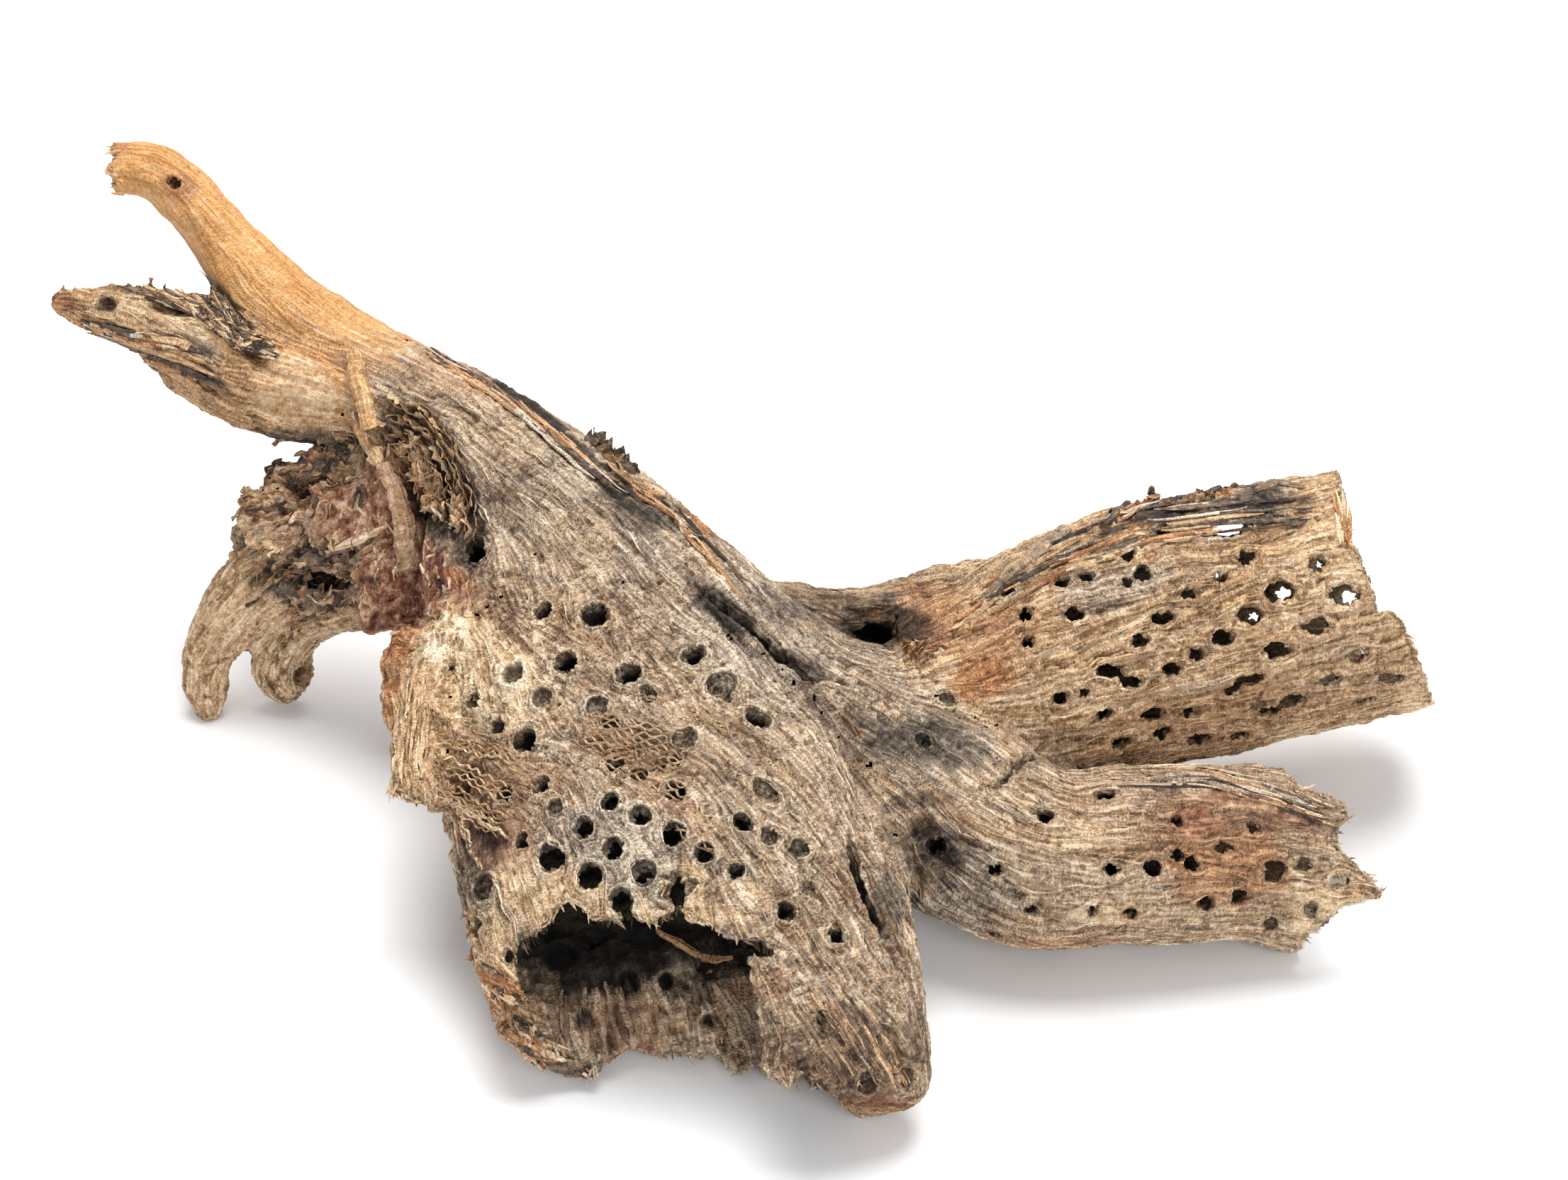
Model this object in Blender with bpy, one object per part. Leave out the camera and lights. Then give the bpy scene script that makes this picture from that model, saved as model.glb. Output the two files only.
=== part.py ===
"""Cholla cactus skeleton: the woody lattice that is left when a cholla has died and its flesh has gone.

It grew as one piece, so it is one closed solid: a leaning trunk with two broken prongs at its raised end,
a mat of root stubs under them, a wide hollow limb that opens to the front, and two hollow limbs to the right.
Places on it are given as they show in the front view: steps across and down the picture, and how many
millimetres they lie beyond the middle of the piece. Widths, depths and walls are in millimetres.
"""
import math
import random

import bmesh
import bpy
from mathutils import Vector
from mathutils import noise
from mathutils.bvhtree import BVHTree

MM = 0.001
NODE = "cholla_skeleton"

# The front view: a quarter of a millimetre for each step, from an eye that looks 35 degrees down
PICTURE_MIDDLE = (1106.0, 832.5)
PICTURE_STEP = 0.25 * MM
VIEW_TILT = math.radians(35)
EYE_DISTANCE = 1100 * MM
SEEN_MIDDLE = Vector((0.0, 0.0, 85.0)) * MM
RIGHT = Vector((1, 0, 0))
AWAY = Vector((0, math.cos(VIEW_TILT), -math.sin(VIEW_TILT)))
UP = Vector((0, math.sin(VIEW_TILT), math.cos(VIEW_TILT)))

# Meshing
RING_SIDES = 20
STATION_STEP = 5 * MM
WOOD_VOXEL = 2.0 * MM
HOLLOW_VOXEL = 1.4 * MM
BLEND_ROUNDS = 8
SETTLE_ROUNDS = 2
TRIANGLES = 11600

# The height at which the low points are worn flat where the piece rests
TABLE = 1.5 * MM

WOOD_COLOUR = (0.36, 0.24, 0.14)
WOOD_ROUGHNESS = 0.85

# Limbs: across, down, away, half width as seen, half depth
LIMBS = {
    "trunk": (
        (470, 545, 48, 21, 21), (560, 562, 40, 22, 22), (650, 612, 25, 24, 24), (740, 685, 8, 27, 27),
        (830, 757, -8, 29, 30), (920, 828, -20, 29, 32), (1010, 900, -28, 28, 33), (1110, 975, -34, 26, 33),
        (1210, 1022, -34, 28, 33), (1310, 1045, -30, 30, 33)),
    "antler": (
        (140, 238, 50, 9.5, 8), (200, 240, 50, 10.5, 9.5), (248, 264, 49, 11.5, 10.5),
        (300, 320, 47, 12, 11.5),
        (352, 386, 46, 14.5, 13.5), (415, 455, 46, 18, 17), (480, 515, 46, 21, 20), (550, 560, 42, 22, 21)),
    "left_prong": (
        (72, 422, 42, 3.5, 3.5), (100, 430, 42, 6.5, 6), (150, 440, 41, 10, 9), (200, 452, 40, 12.5, 12),
        (260, 478, 40, 17, 15), (330, 515, 41, 21, 19), (410, 540, 43, 22, 20), (490, 550, 45, 21, 20)),
    "high_limb": (
        (1290, 1010, -28, 34, 32), (1390, 975, -20, 38, 34), (1490, 935, -12, 44, 37),
        (1590, 905, -5, 46.5, 38),
        (1700, 882, 2, 46.5, 38), (1800, 862, 9, 46, 38), (1900, 842, 15, 45, 37), (2060, 815, 22, 44, 36)),
    "low_limb": (
        (1290, 1090, -36, 34, 30), (1380, 1170, -46, 34, 30), (1480, 1210, -48, 31, 29),
        (1600, 1208, -46, 30, 28),
        (1720, 1204, -41, 30, 28), (1820, 1215, -36, 31, 28), (1900, 1222, -33, 30, 27),
        (1990, 1228, -30, 28, 26)),
    "front_limb": (
        (830, 850, -12, 40, 30), (852, 960, -34, 62, 34), (888, 1080, -54, 66, 34),
        (928, 1200, -74, 68, 34),
        (966, 1310, -88, 70, 33), (1000, 1420, -99, 70, 32), (1026, 1530, -107, 66, 30),
        (1040, 1600, -113, 62, 28)),
    "tan_stub": (
        (650, 880, -26, 15, 13), (618, 950, -40, 11, 11), (606, 1010, -52, 10, 10), (594, 1080, -63, 10, 9),
        (584, 1140, -70, 9, 8)),
    "brown_flake": (
        (580, 890, -38, 7, 5), (556, 935, -42, 5.5, 3.5), (554, 985, -46, 4.5, 3.5),
        (564, 1035, -50, 3, 3)),
    "purple_stump": (
        (600, 640, 30, 20, 17), (588, 730, 34, 20, 17), (588, 810, 40, 21, 18), (592, 868, 46, 21, 18)),
    "neck": (
        (690, 700, 14, 20, 20), (700, 800, 0, 26, 24), (730, 900, -18, 34, 28)),
    "root_roll": (
        (560, 700, 36, 12, 11), (480, 728, 46, 12, 11), (400, 742, 54, 11, 10), (345, 768, 58, 8, 8)),
    "root_crest": (
        (540, 640, 40, 10, 10), (460, 672, 46, 8, 8), (390, 684, 50, 6, 5)),
    "root_mat": (
        (560, 800, 42, 14, 12), (440, 812, 54, 14, 12), (375, 795, 62, 11, 10)),
    "left_stub": (
        (400, 790, 56, 13, 12), (350, 840, 61, 14.5, 12), (312, 885, 66, 12.5, 11),
        (290, 930, 71, 9.5, 8.5),
        (290, 975, 75, 8, 7.5), (296, 1014, 78, 5, 5)),
    "claw_stub": (
        (520, 855, 52, 9, 9), (450, 868, 60, 10, 9), (408, 902, 68, 11, 9), (398, 945, 75, 11, 9),
        (425, 975, 78, 8, 8)),
    "back_saddle": (
        (960, 800, -20, 12, 20), (1030, 854, -8, 12, 22), (1110, 870, 0, 12, 26), (1190, 876, 4, 12, 28),
        (1260, 876, 4, 14, 28), (1340, 870, 4, 18, 28), (1420, 870, 2, 20, 28)),
    "bark_rib": (
        (600, 505, 38, 4, 5), (700, 552, 18, 4.5, 5), (790, 624, 2, 5, 5), (870, 690, -12, 5, 5),
        (950, 728, -20, 6, 6), (1010, 795, -26, 6, 6), (1080, 855, -28, 5, 5)),
    "split_sliver": (
        (1200, 1090, -48, 12, 12), (1240, 1200, -62, 8, 10), (1266, 1270, -72, 5.5, 8),
        (1287, 1350, -82, 4, 5)),
}

# Splinters that stand out of the broken bark: across, down, away at the root, the same at the tip, thickness
SPLINTERS = (
    ((850, 690, -10), (838, 600, -6), 5), ((880, 705, -14), (893, 655, -12), 4),
    ((244, 430, 38), (254, 382, 36), 3), ((215, 420, 42), (218, 388, 42), 3),
    ((1510, 800, 0), (1500, 736, 2), 4), ((1640, 760, 4), (1622, 683, 6), 6),
    ((1740, 740, 8), (1733, 684, 9), 3), ((300, 860, 70), (268, 836, 70), 5),
)

# Hollows: the same as limbs, cut out of them
HOLLOWS = {
    "high_hollow": (
        (1440, 955, -15, 24, 22), (1500, 932, -12, 35, 30), (1590, 905, -5, 40, 32),
        (1700, 882, 2, 40.5, 32),
        (1800, 862, 9, 40, 32), (1900, 842, 15, 39.5, 31.5), (2120, 806, 26, 39, 31)),
    "low_hollow": (
        (1520, 1212, -48, 14, 12), (1600, 1208, -46, 22, 20), (1720, 1204, -41, 24, 22),
        (1820, 1215, -36, 25, 22),
        (1900, 1222, -33, 25, 22), (2060, 1234, -28, 25, 22)),
    "front_hollow": (
        (842, 1030, -48, 20, 14), (880, 1120, -63, 46, 23), (915, 1220, -80, 54, 25),
        (935, 1320, -92, 55, 25),
        (950, 1420, -102, 54, 24), (950, 1530, -112, 54, 23), (950, 1680, -128, 54, 22)),
    "root_hollow": (
        (400, 822, 40, 5, 6), (450, 822, 36, 7, 8), (497, 818, 34, 5, 6)),
}

# Cracks that follow the surface: half width, depth, and the line as it shows
CRACKS = (
    (2.2, 9, ((940, 786), (983, 823), (1031, 861), (1063, 882), (1101, 925), (1138, 951), (1197, 965),
              (1232, 984))),
    (1.6, 7, ((1348, 1134), (1400, 1112), (1442, 1076), (1480, 1054), (1530, 1040))),
    (2.2, 12, ((1195, 1172), (1208, 1216), (1223, 1262), (1242, 1301), (1262, 1346))),
    (1.4, 4, ((640, 508), (700, 545), (760, 592), (820, 642), (866, 688))),
    (1.3, 4, ((1078, 1150), (1130, 1228), (1184, 1312), (1250, 1402))),
    (1.3, 4, ((590, 830), (612, 770), (628, 700), (604, 640))),
    (1.3, 4, ((345, 440), (352, 480), (385, 505))),
    (1.6, 6, ((520, 905), (560, 885), (610, 868), (650, 856))),
)

# Raised strips of bark and twig that follow the surface: half width, height, and the line
STRIPS = (
    (2.5, 2.5, ((850, 650), (880, 675), (910, 686), (942, 702), (966, 722), (988, 748), (1004, 772))),
    (2.2, 3.0, ((505, 528), (515, 560), (521, 592), (531, 622), (543, 655))),
    (3.5, 3.5, ((545, 690), (562, 720), (576, 756), (582, 796))),
    (2.5, 3.0, ((600, 566), (640, 600), (664, 650), (676, 700), (681, 752))),
    (2.5, 2.5, ((286, 400), (294, 418), (303, 438), (322, 472), (348, 496))),
)

# Bark plates: how near and how far they lie, and their outline in the picture
PLATES = (
    ((18, 30), ((503, 792), (560, 776), (622, 762), (652, 792), (652, 850), (620, 862), (562, 884),
    (512, 894))),
    ((26, 38), ((446, 702), (502, 690), (560, 700), (566, 744), (540, 750), (502, 768), (466, 778),
    (440, 750))),
    ((34, 44), ((346, 704), (402, 684), (452, 700), (440, 752), (392, 770), (338, 776))),
    ((-66, -58), ((548, 1060), (560, 1010), (600, 990), (640, 1010), (640, 1090), (604, 1130),
    (560, 1122))),
)

# The comb of splinters along the top of the left prong: its line, count, lengths and lean
COMB_LINE = ((92, 414, 42), (144, 408, 41), (194, 402, 40), (244, 398, 38))
COMB_COUNT = 13
COMB_LENGTH = (14, 26)
COMB_THICKNESS = 2.6
COMB_SEED = 7

# Weathered swells and furrows: height and spacing
SWELLS = ((1.5, 26), (0.7, 9))

# Outlines in the picture of what has broken away, and from how near to how far it is gone
BROKEN = {
    "high_end": ((-160, 160), (
        (1884, 640), (1888, 685), (1897, 735), (1905, 765), (1920, 790), (1935, 830), (1945, 872),
        (1962, 864),
        (1976, 876), (1990, 902), (2006, 948), (2024, 996), (2100, 1010), (2200, 900), (2200, 640))),
    "low_end": ((-160, 160), (
        (1800, 1040), (1812, 1092), (1848, 1118), (1882, 1128), (1912, 1148), (1889, 1163), (1884, 1196),
        (1922, 1230), (1958, 1262), (1892, 1282), (1838, 1314), (1820, 1354), (1794, 1342), (1756, 1316),
        (1741, 1340), (1700, 1330), (1700, 1420), (2150, 1420), (2150, 1075), (2000, 1050))),
    "front_end": ((-260, 160), (
        (560, 1150), (612, 1146), (638, 1190), (640, 1232), (654, 1310), (680, 1384), (712, 1460),
        (744, 1492),
        (790, 1514), (826, 1522), (852, 1498), (894, 1478), (930, 1490), (1005, 1486), (1050, 1514),
        (1062, 1500), (1106, 1526), (1132, 1514), (1190, 1556), (1216, 1580), (1240, 1569), (1290, 1594),
        (1316, 1556), (1321, 1490), (1333, 1456), (1310, 1408), (1290, 1364), (1400, 1420), (1400, 1760),
        (560, 1760))),
    "ear_end": ((-160, 60), (
        (500, 1100), (546, 1098), (552, 1118), (572, 1124), (590, 1134), (606, 1112), (606, 1200),
        (500, 1200))),
    "antler_end": ((-160, 160), (
        (110, 180), (160, 192), (153, 212), (165, 226), (152, 238), (166, 252), (155, 266), (163, 280),
        (160, 310), (110, 310))),
}

# The broken rim over the front hollow, and how far away the hollow's middle is at its top and its foot
RIM = (
    (738, 1400), (733, 1336), (755, 1322), (774, 1302), (790, 1277), (804, 1268), (818, 1274), (836, 1296),
    (864, 1300), (898, 1294), (920, 1301), (944, 1294), (958, 1279), (980, 1300), (1000, 1297),
    (1052, 1328),
    (1088, 1346), (1098, 1400), (1104, 1480), (1110, 1760), (770, 1760), (765, 1480))
RIM_NEAR = -260
RIM_TOP = (1270, -88)
RIM_FOOT = (1760, -150)

# Holes, sunken eyes and deep pockets as they show: across, down, length, width
HIGH_LIMB_HOLES = (
    (1722, 741, 15, 6), (1858, 795, 5.5, 6.5), (1806, 834, 10.5, 8), (1898, 840, 11.5, 8),
    (1764, 867, 9, 6.5),
    (1858, 884, 9, 6), (1760, 786, 5.5, 6.5), (1722, 814, 5, 5), (1679, 838, 5.5, 5), (1590, 780, 6, 6),
    (1641, 749, 5.5, 4.5), (1805, 730, 7.5, 5), (1612, 808, 5.5, 6), (1590, 822, 4, 4), (1642, 871, 8, 5),
    (1609, 903, 6.5, 4.5), (1725, 902, 8.5, 5.5), (1689, 925, 6, 5.5), (1654, 945, 7, 5),
    (1566, 946, 10, 4.5),
    (1597, 964, 9, 4.5), (1805, 918, 11, 6.5), (1915, 925, 9, 5), (1767, 958, 10.5, 4.5),
    (1877, 961, 7.5, 4.5),
    (1963, 958, 11, 4.5), (1738, 976, 6.5, 4), (1824, 990, 10.5, 4.5), (1627, 1008, 9.5, 4.5),
    (1678, 1007, 7, 4), (1789, 1006, 7.5, 4), (1923, 990, 10, 4), (1582, 1050, 9.5, 4.5),
    (1639, 1037, 7, 6),
    (1693, 1045, 8.5, 5.5), (1445, 867, 6, 6), (1518, 865, 6, 6), (1421, 834, 5, 5), (1498, 820, 5.5, 5),
    (1533, 812, 5, 4.5), (1450, 905, 5, 4.5), (1496, 985, 6.5, 4.5), (1530, 978, 4, 4), (1560, 1008, 6, 4),
    (1748, 1040, 7, 4.5),
)
LOW_LIMB_HOLES = (
    (1568, 1228, 6, 5), (1626, 1226, 6, 5.5), (1683, 1220, 5.5, 5), (1661, 1206, 4.5, 4),
    (1727, 1197, 6.5, 5),
    (1747, 1266, 5.5, 5.5), (1702, 1276, 5.5, 5.5), (1840, 1221, 5.5, 5), (1890, 1244, 6.5, 5),
    (1792, 1304, 5.5, 4.5), (1850, 1284, 5, 6), (1798, 1230, 8, 7), (1660, 1157, 4.5, 4.5),
    (1560, 1120, 8, 4),
    (1401, 1320, 6, 5), (1319, 1194, 6, 6.5), (1455, 1286, 4.5, 4), (1541, 1286, 4.5, 4),
    (1658, 1078, 8, 4),
    (1769, 1168, 5.5, 5), (1475, 1150, 6, 5), (1403, 1228, 5, 4.5), (1596, 1290, 5, 4.5),
)
FRONT_LIMB_EYES = (
    (775, 1210, 10, 8), (830, 1236, 8.5, 8), (907, 1231, 8, 8), (865, 1198, 7.5, 7), (877, 1272, 8.5, 7),
    (823, 1168, 7, 6.5), (861, 1131, 6.5, 6.5), (949, 1177, 7.5, 7.5), (903, 1151, 7, 7), (952, 1118, 7, 6),
    (993, 1202, 6.5, 6), (1048, 1160, 6.5, 5.5), (1081, 1117, 10, 7), (735, 1187, 5.5, 5.5),
    (682, 1252, 8, 9), (671, 1309, 5.5, 8.5), (763, 1108, 6, 6.5), (741, 1045, 7.5, 8.5), (700, 1024, 6, 6),
    (712, 1122, 6, 6), (966, 1041, 7, 8), (950, 1072, 5.5, 5.5), (956, 1256, 5.5, 12), (839, 868, 9, 9),
    (797, 934, 8, 8), (725, 954, 8, 8), (765, 862, 6.5, 6.5), (887, 951, 8, 8), (914, 979, 7, 5),
    (978, 924, 6.5, 9), (1016, 966, 8, 11), (1070, 1013, 9, 6.5), (842, 996, 7, 7), (861, 1020, 6, 5),
    (1109, 1286, 6, 6), (1038, 1229, 5, 5.5), (1225, 1530, 7, 6), (1280, 1520, 6, 6), (1165, 1440, 6, 5),
    (783, 1140, 6, 5.5), (867, 1080, 6, 6), (668, 770, 7, 7), (1335, 987, 5.5, 5), (1302, 1046, 5.5, 5),
    (669, 990, 6, 6), (1130, 1196, 6, 5), (1180, 1320, 6, 5),
)
FLOOR_HOLES = (
    (886, 1391, 9, 9.5), (940, 1385, 5.5, 6.5), (823, 1436, 5, 7), (1000, 1440, 6, 5),
)
STUB_HOLES = (
    (437, 955, 5, 7), (245, 258, 5.5, 5), (553, 950, 6, 13),
)
POCKETS = (
    (1230, 898, 14, 8), (1256, 886, 4, 9), (668, 790, 9, 9), (446, 822, 16, 9),
)
POCKET_DEPTH = 20 * MM
PIT_DEPTH = 8 * MM
THROUGH_DEPTH = 13 * MM
SHALLOW_DEPTH = 5 * MM
PLUG_SIDES = 10
LINE_STEP = 10
LINE_END = 0.3
PLUG_STAND_OUT = 5 * MM
PLUG_TAPER = 0.72

# Holes on the sides that the front view doesn't show, laid out on a rising spiral: limb, count, length, width
FAR_SPIRALS = (
    ("high_limb", 44, 8.5, 5.5, THROUGH_DEPTH), ("low_limb", 26, 7, 5.5, THROUGH_DEPTH),
    ("front_limb", 28, 8, 7, THROUGH_DEPTH), ("trunk", 24, 7.5, 6.5, PIT_DEPTH),
)
GOLDEN_TURN = math.pi * (3 - math.sqrt(5))
FAR_JITTER = 0.12
SPIRAL_SEED = 41
TURNED_AWAY = 0.12
FAR_REACH = 150 * MM


def seen(across, down, away):
    """The point that shows at this place in the picture, so many millimetres beyond the middle."""
    away = away * MM
    step = PICTURE_STEP * (1 + away / EYE_DISTANCE)
    return (SEEN_MIDDLE + AWAY * away + RIGHT * (across - PICTURE_MIDDLE[0]) * step
            + UP * (PICTURE_MIDDLE[1] - down) * step)


def between(before, start, end, after, t):
    """Catmull-Rom curve from start to end."""
    return (start * 2 + (end - before) * t + (before * 2 - start * 5 + end * 4 - after) * t * t
            + (start * 3 - before - end * 3 + after) * t * t * t) * 0.5


def smooth_path(stations):
    """Closely spaced rows of centre, tangent, half width and half depth along a smooth curve."""
    knots = [(seen(*row[:3]), row[3] * MM, row[4] * MM) for row in stations]
    knots = [knots[0]] + knots + [knots[-1]]
    rows = []
    for before, start, end, after in zip(knots, knots[1:], knots[2:], knots[3:]):
        count = max(1, round((end[0] - start[0]).length / STATION_STEP))
        for i in range(count):
            rows.append([between(before[k], start[k], end[k], after[k], i / count) for k in range(3)])
    rows.append(list(knots[-1]))
    ends = [rows[0]] + rows + [rows[-1]]
    ways = [(after[0] - before[0]).normalized() for before, after in zip(ends, ends[2:])]
    return [(row[0], way, row[1], row[2]) for row, way in zip(rows, ways)]


def oval(mesh, centre, side, depth, wide, deep, count=RING_SIDES):
    """A ring of vertices round a centre."""
    turns = [2 * math.pi * i / count for i in range(count)]
    return [mesh.verts.new(centre + side * math.cos(a) * wide + depth * math.sin(a) * deep) for a in turns]


def skin(mesh, rings):
    """Faces between rings, and a cap on each end."""
    count = len(rings[0])
    for low, high in zip(rings, rings[1:]):
        for i in range(count):
            j = (i + 1) % count
            mesh.faces.new((low[i], low[j], high[j], high[i]))
    mesh.faces.new(reversed(rings[0]))
    mesh.faces.new(rings[-1])


def add_limb(mesh, stations):
    rings = []
    for centre, tangent, wide, deep in smooth_path(stations):
        side = AWAY.cross(tangent).normalized()
        rings.append(oval(mesh, centre, side, tangent.cross(side), wide, deep))
    skin(mesh, rings)


def add_spike(mesh, root, tip, thickness):
    """A splinter: a slim tapered stick of wood."""
    root = seen(*root)
    tip = seen(*tip)
    side = AWAY.cross(tip - root).normalized()
    depth = (tip - root).normalized().cross(side)
    half = thickness * MM / 2
    thin = half / 2
    skin(mesh, [oval(mesh, root, side, depth, half, half), oval(mesh, tip, side, depth, thin, thin)])


def add_prism(mesh, outline, near, far):
    """A slab with this outline in the picture. near and far give how far away each corner is."""
    rings = [[mesh.verts.new(seen(across, down, place(down))) for across, down in outline]
             for place in (near, far)]
    skin(mesh, rings)


def add_plug(mesh, centre, inward, along, long, wide, depth):
    """A tapered oval plug that cuts a hole from just outside the surface to its depth."""
    side = inward.cross(along).normalized()
    along = side.cross(inward)
    rings = []
    for reach, grow in ((-PLUG_STAND_OUT, 1.1), (0.0, 1.0), (depth, PLUG_TAPER)):
        middle = centre + inward * reach
        rings.append(oval(mesh, middle, along, side, long / 2 * grow, wide / 2 * grow, PLUG_SIDES))
    skin(mesh, rings)


def on_wood(surface, across, down, behind=False):
    """Where the line of sight through this place in the picture meets the wood, or leaves it behind."""
    eye = SEEN_MIDDLE - AWAY * EYE_DISTANCE
    start = eye
    sight = (seen(across, down, 0) - eye).normalized()
    if behind:
        start = eye + sight * EYE_DISTANCE * 2
        sight = -sight
    place, normal, _, _ = surface.ray_cast(start, sight)
    return place, normal, sight


def add_line(mesh, surface, line, wide, deep):
    """A tapered strip along a line on the surface, half sunk in it."""
    steps = []
    for (from_across, from_down), (to_across, to_down) in zip(line, line[1:]):
        count = max(2, round(math.hypot(to_across - from_across, to_down - from_down) / LINE_STEP))
        steps += [(from_across + (to_across - from_across) * i / count,
                   from_down + (to_down - from_down) * i / count) for i in range(count)]
    steps.append(line[-1])
    found = [on_wood(surface, across, down) for across, down in steps]
    found = [(place, normal) for place, normal, _ in found if place is not None]
    rings = []
    for i, (place, normal) in enumerate(found):
        tangent = (found[min(i + 1, len(found) - 1)][0] - found[max(i - 1, 0)][0]).normalized()
        side = normal.cross(tangent).normalized()
        grow = max(math.sin(math.pi * (i + 0.5) / len(found)) ** 0.5, LINE_END) * MM
        rings.append(oval(mesh, place, side, tangent.cross(side), wide * grow, deep * grow, PLUG_SIDES))
    skin(mesh, rings)


def as_object(name, mesh):
    bmesh.ops.recalc_face_normals(mesh, faces=mesh.faces)
    data = bpy.data.meshes.new(name)
    mesh.to_mesh(data)
    mesh.free()
    made = bpy.data.objects.new(name, data)
    bpy.context.scene.collection.objects.link(made)
    return made


def add_remesh(piece, voxel):
    remesh = piece.modifiers.new("fuse", "REMESH")
    remesh.mode = "VOXEL"
    remesh.voxel_size = voxel
    remesh.adaptivity = 0


def add_smooth(piece, rounds):
    smooth = piece.modifiers.new("blend", "SMOOTH")
    smooth.iterations = rounds


def settle(piece):
    """Applies the piece's modifiers."""
    graph = bpy.context.evaluated_depsgraph_get()
    done = bpy.data.meshes.new_from_object(piece.evaluated_get(graph))
    piece.modifiers.clear()
    old = piece.data
    piece.data = done
    bpy.data.meshes.remove(old)


def surface_of(piece):
    mesh = bmesh.new()
    mesh.from_mesh(piece.data)
    tree = BVHTree.FromBMesh(mesh)
    mesh.free()
    return tree


def shown_plugs(mesh, surface, holes, depth, behind=False):
    """Cuts each hole where the line of sight through it meets the wood."""
    for across, down, long, wide in holes:
        place, normal, sight = on_wood(surface, across, down, behind)
        if place is not None:
            add_plug(mesh, place, (sight - normal).normalized(), RIGHT, long * MM, wide * MM, depth)


def far_plugs(mesh, surface, limb, count, long, wide, depth, draw):
    """Cuts holes on a spiral round a limb, where it faces away from the front view."""
    rows = smooth_path(LIMBS[limb])
    for i in range(count):
        centre, tangent, _, _ = rows[int((i + 0.5) / count * len(rows))]
        turn = i * GOLDEN_TURN + draw.uniform(-FAR_JITTER, FAR_JITTER)
        side = AWAY.cross(tangent).normalized()
        outward = side * math.cos(turn) + tangent.cross(side) * math.sin(turn)
        if outward.dot(AWAY) < TURNED_AWAY:
            continue
        place, normal, _, _ = surface.ray_cast(centre + outward * FAR_REACH, -outward)
        if place is None:
            continue
        size = draw.uniform(0.8, 1.15) * MM
        add_plug(mesh, place, -(normal + outward).normalized(), tangent, long * size, wide * size, depth)


def add_comb(mesh):
    """Small splinters that stand up along the broken top of the left prong."""
    draw = random.Random(COMB_SEED)
    spans = list(zip(COMB_LINE, COMB_LINE[1:]))
    for i in range(COMB_COUNT):
        start, end = spans[i * len(spans) // COMB_COUNT]
        part = i * len(spans) / COMB_COUNT % 1
        across, down, away = (a + (b - a) * part for a, b in zip(start, end))
        away += draw.uniform(-5, 5)
        tip = (across + draw.uniform(-6, 8), down - draw.uniform(*COMB_LENGTH), away)
        add_spike(mesh, (across, down + 12, away), tip, COMB_THICKNESS)


def weather(piece):
    """Pushes the surface in and out in slow swells and finer furrows."""
    data = piece.data
    shifts = []
    for vertex in data.vertices:
        rise = sum(height * noise.noise(vertex.co / (spacing * MM)) for height, spacing in SWELLS)
        shifts.append(vertex.normal * rise * MM)
    for vertex, shift in zip(data.vertices, shifts):
        vertex.co += shift


def make_wood():
    """The limbs blended into one body, then its plates, strips and splinters."""
    mesh = bmesh.new()
    for stations in LIMBS.values():
        add_limb(mesh, stations)
    wood = as_object(NODE, mesh)
    add_remesh(wood, WOOD_VOXEL)
    add_smooth(wood, BLEND_ROUNDS)
    settle(wood)
    surface = surface_of(wood)
    mesh = bmesh.new()
    mesh.from_mesh(wood.data)
    for root, tip, thickness in SPLINTERS:
        add_spike(mesh, root, tip, thickness)
    add_comb(mesh)
    for (near, far), outline in PLATES:
        add_prism(mesh, outline, lambda down: near, lambda down: far)
    for wide, deep, line in STRIPS:
        add_line(mesh, surface, line, wide, deep)
    bpy.data.objects.remove(wood)
    wood = as_object(NODE, mesh)
    add_remesh(wood, HOLLOW_VOXEL)
    add_smooth(wood, SETTLE_ROUNDS)
    settle(wood)
    weather(wood)
    return wood


def rim_depth(down):
    """How far away the middle of the front hollow is at this height in the picture."""
    part = (down - RIM_TOP[0]) / (RIM_FOOT[0] - RIM_TOP[0])
    return RIM_TOP[1] + part * (RIM_FOOT[1] - RIM_TOP[1])


def make_hollow(wood):
    """Everything that is cut out of the wood, fused into one shape."""
    draw = random.Random(SPIRAL_SEED)
    surface = surface_of(wood)
    mesh = bmesh.new()
    for stations in HOLLOWS.values():
        add_limb(mesh, stations)
    for (near, far), outline in BROKEN.values():
        add_prism(mesh, outline, lambda down: near, lambda down: far)
    add_prism(mesh, RIM, lambda down: RIM_NEAR, rim_depth)
    shown_plugs(mesh, surface, HIGH_LIMB_HOLES, THROUGH_DEPTH)
    shown_plugs(mesh, surface, LOW_LIMB_HOLES, THROUGH_DEPTH)
    shown_plugs(mesh, surface, FRONT_LIMB_EYES, PIT_DEPTH)
    shown_plugs(mesh, surface, FLOOR_HOLES, THROUGH_DEPTH, behind=True)
    shown_plugs(mesh, surface, STUB_HOLES, SHALLOW_DEPTH)
    shown_plugs(mesh, surface, POCKETS, POCKET_DEPTH)
    for wide, deep, line in CRACKS:
        add_line(mesh, surface, line, wide, deep)
    for limb, count, long, wide, depth in FAR_SPIRALS:
        far_plugs(mesh, surface, limb, count, long, wide, depth, draw)
    hollow = as_object("hollow", mesh)
    add_remesh(hollow, HOLLOW_VOXEL)
    settle(hollow)
    hollow.hide_render = True
    hollow.display_type = "WIRE"
    return hollow


def carve(wood, hollow):
    cut = wood.modifiers.new("carve", "BOOLEAN")
    cut.operation = "DIFFERENCE"
    cut.solver = "MANIFOLD"
    cut.object = hollow
    add_remesh(wood, HOLLOW_VOXEL)
    add_smooth(wood, SETTLE_ROUNDS)
    settle(wood)


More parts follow.
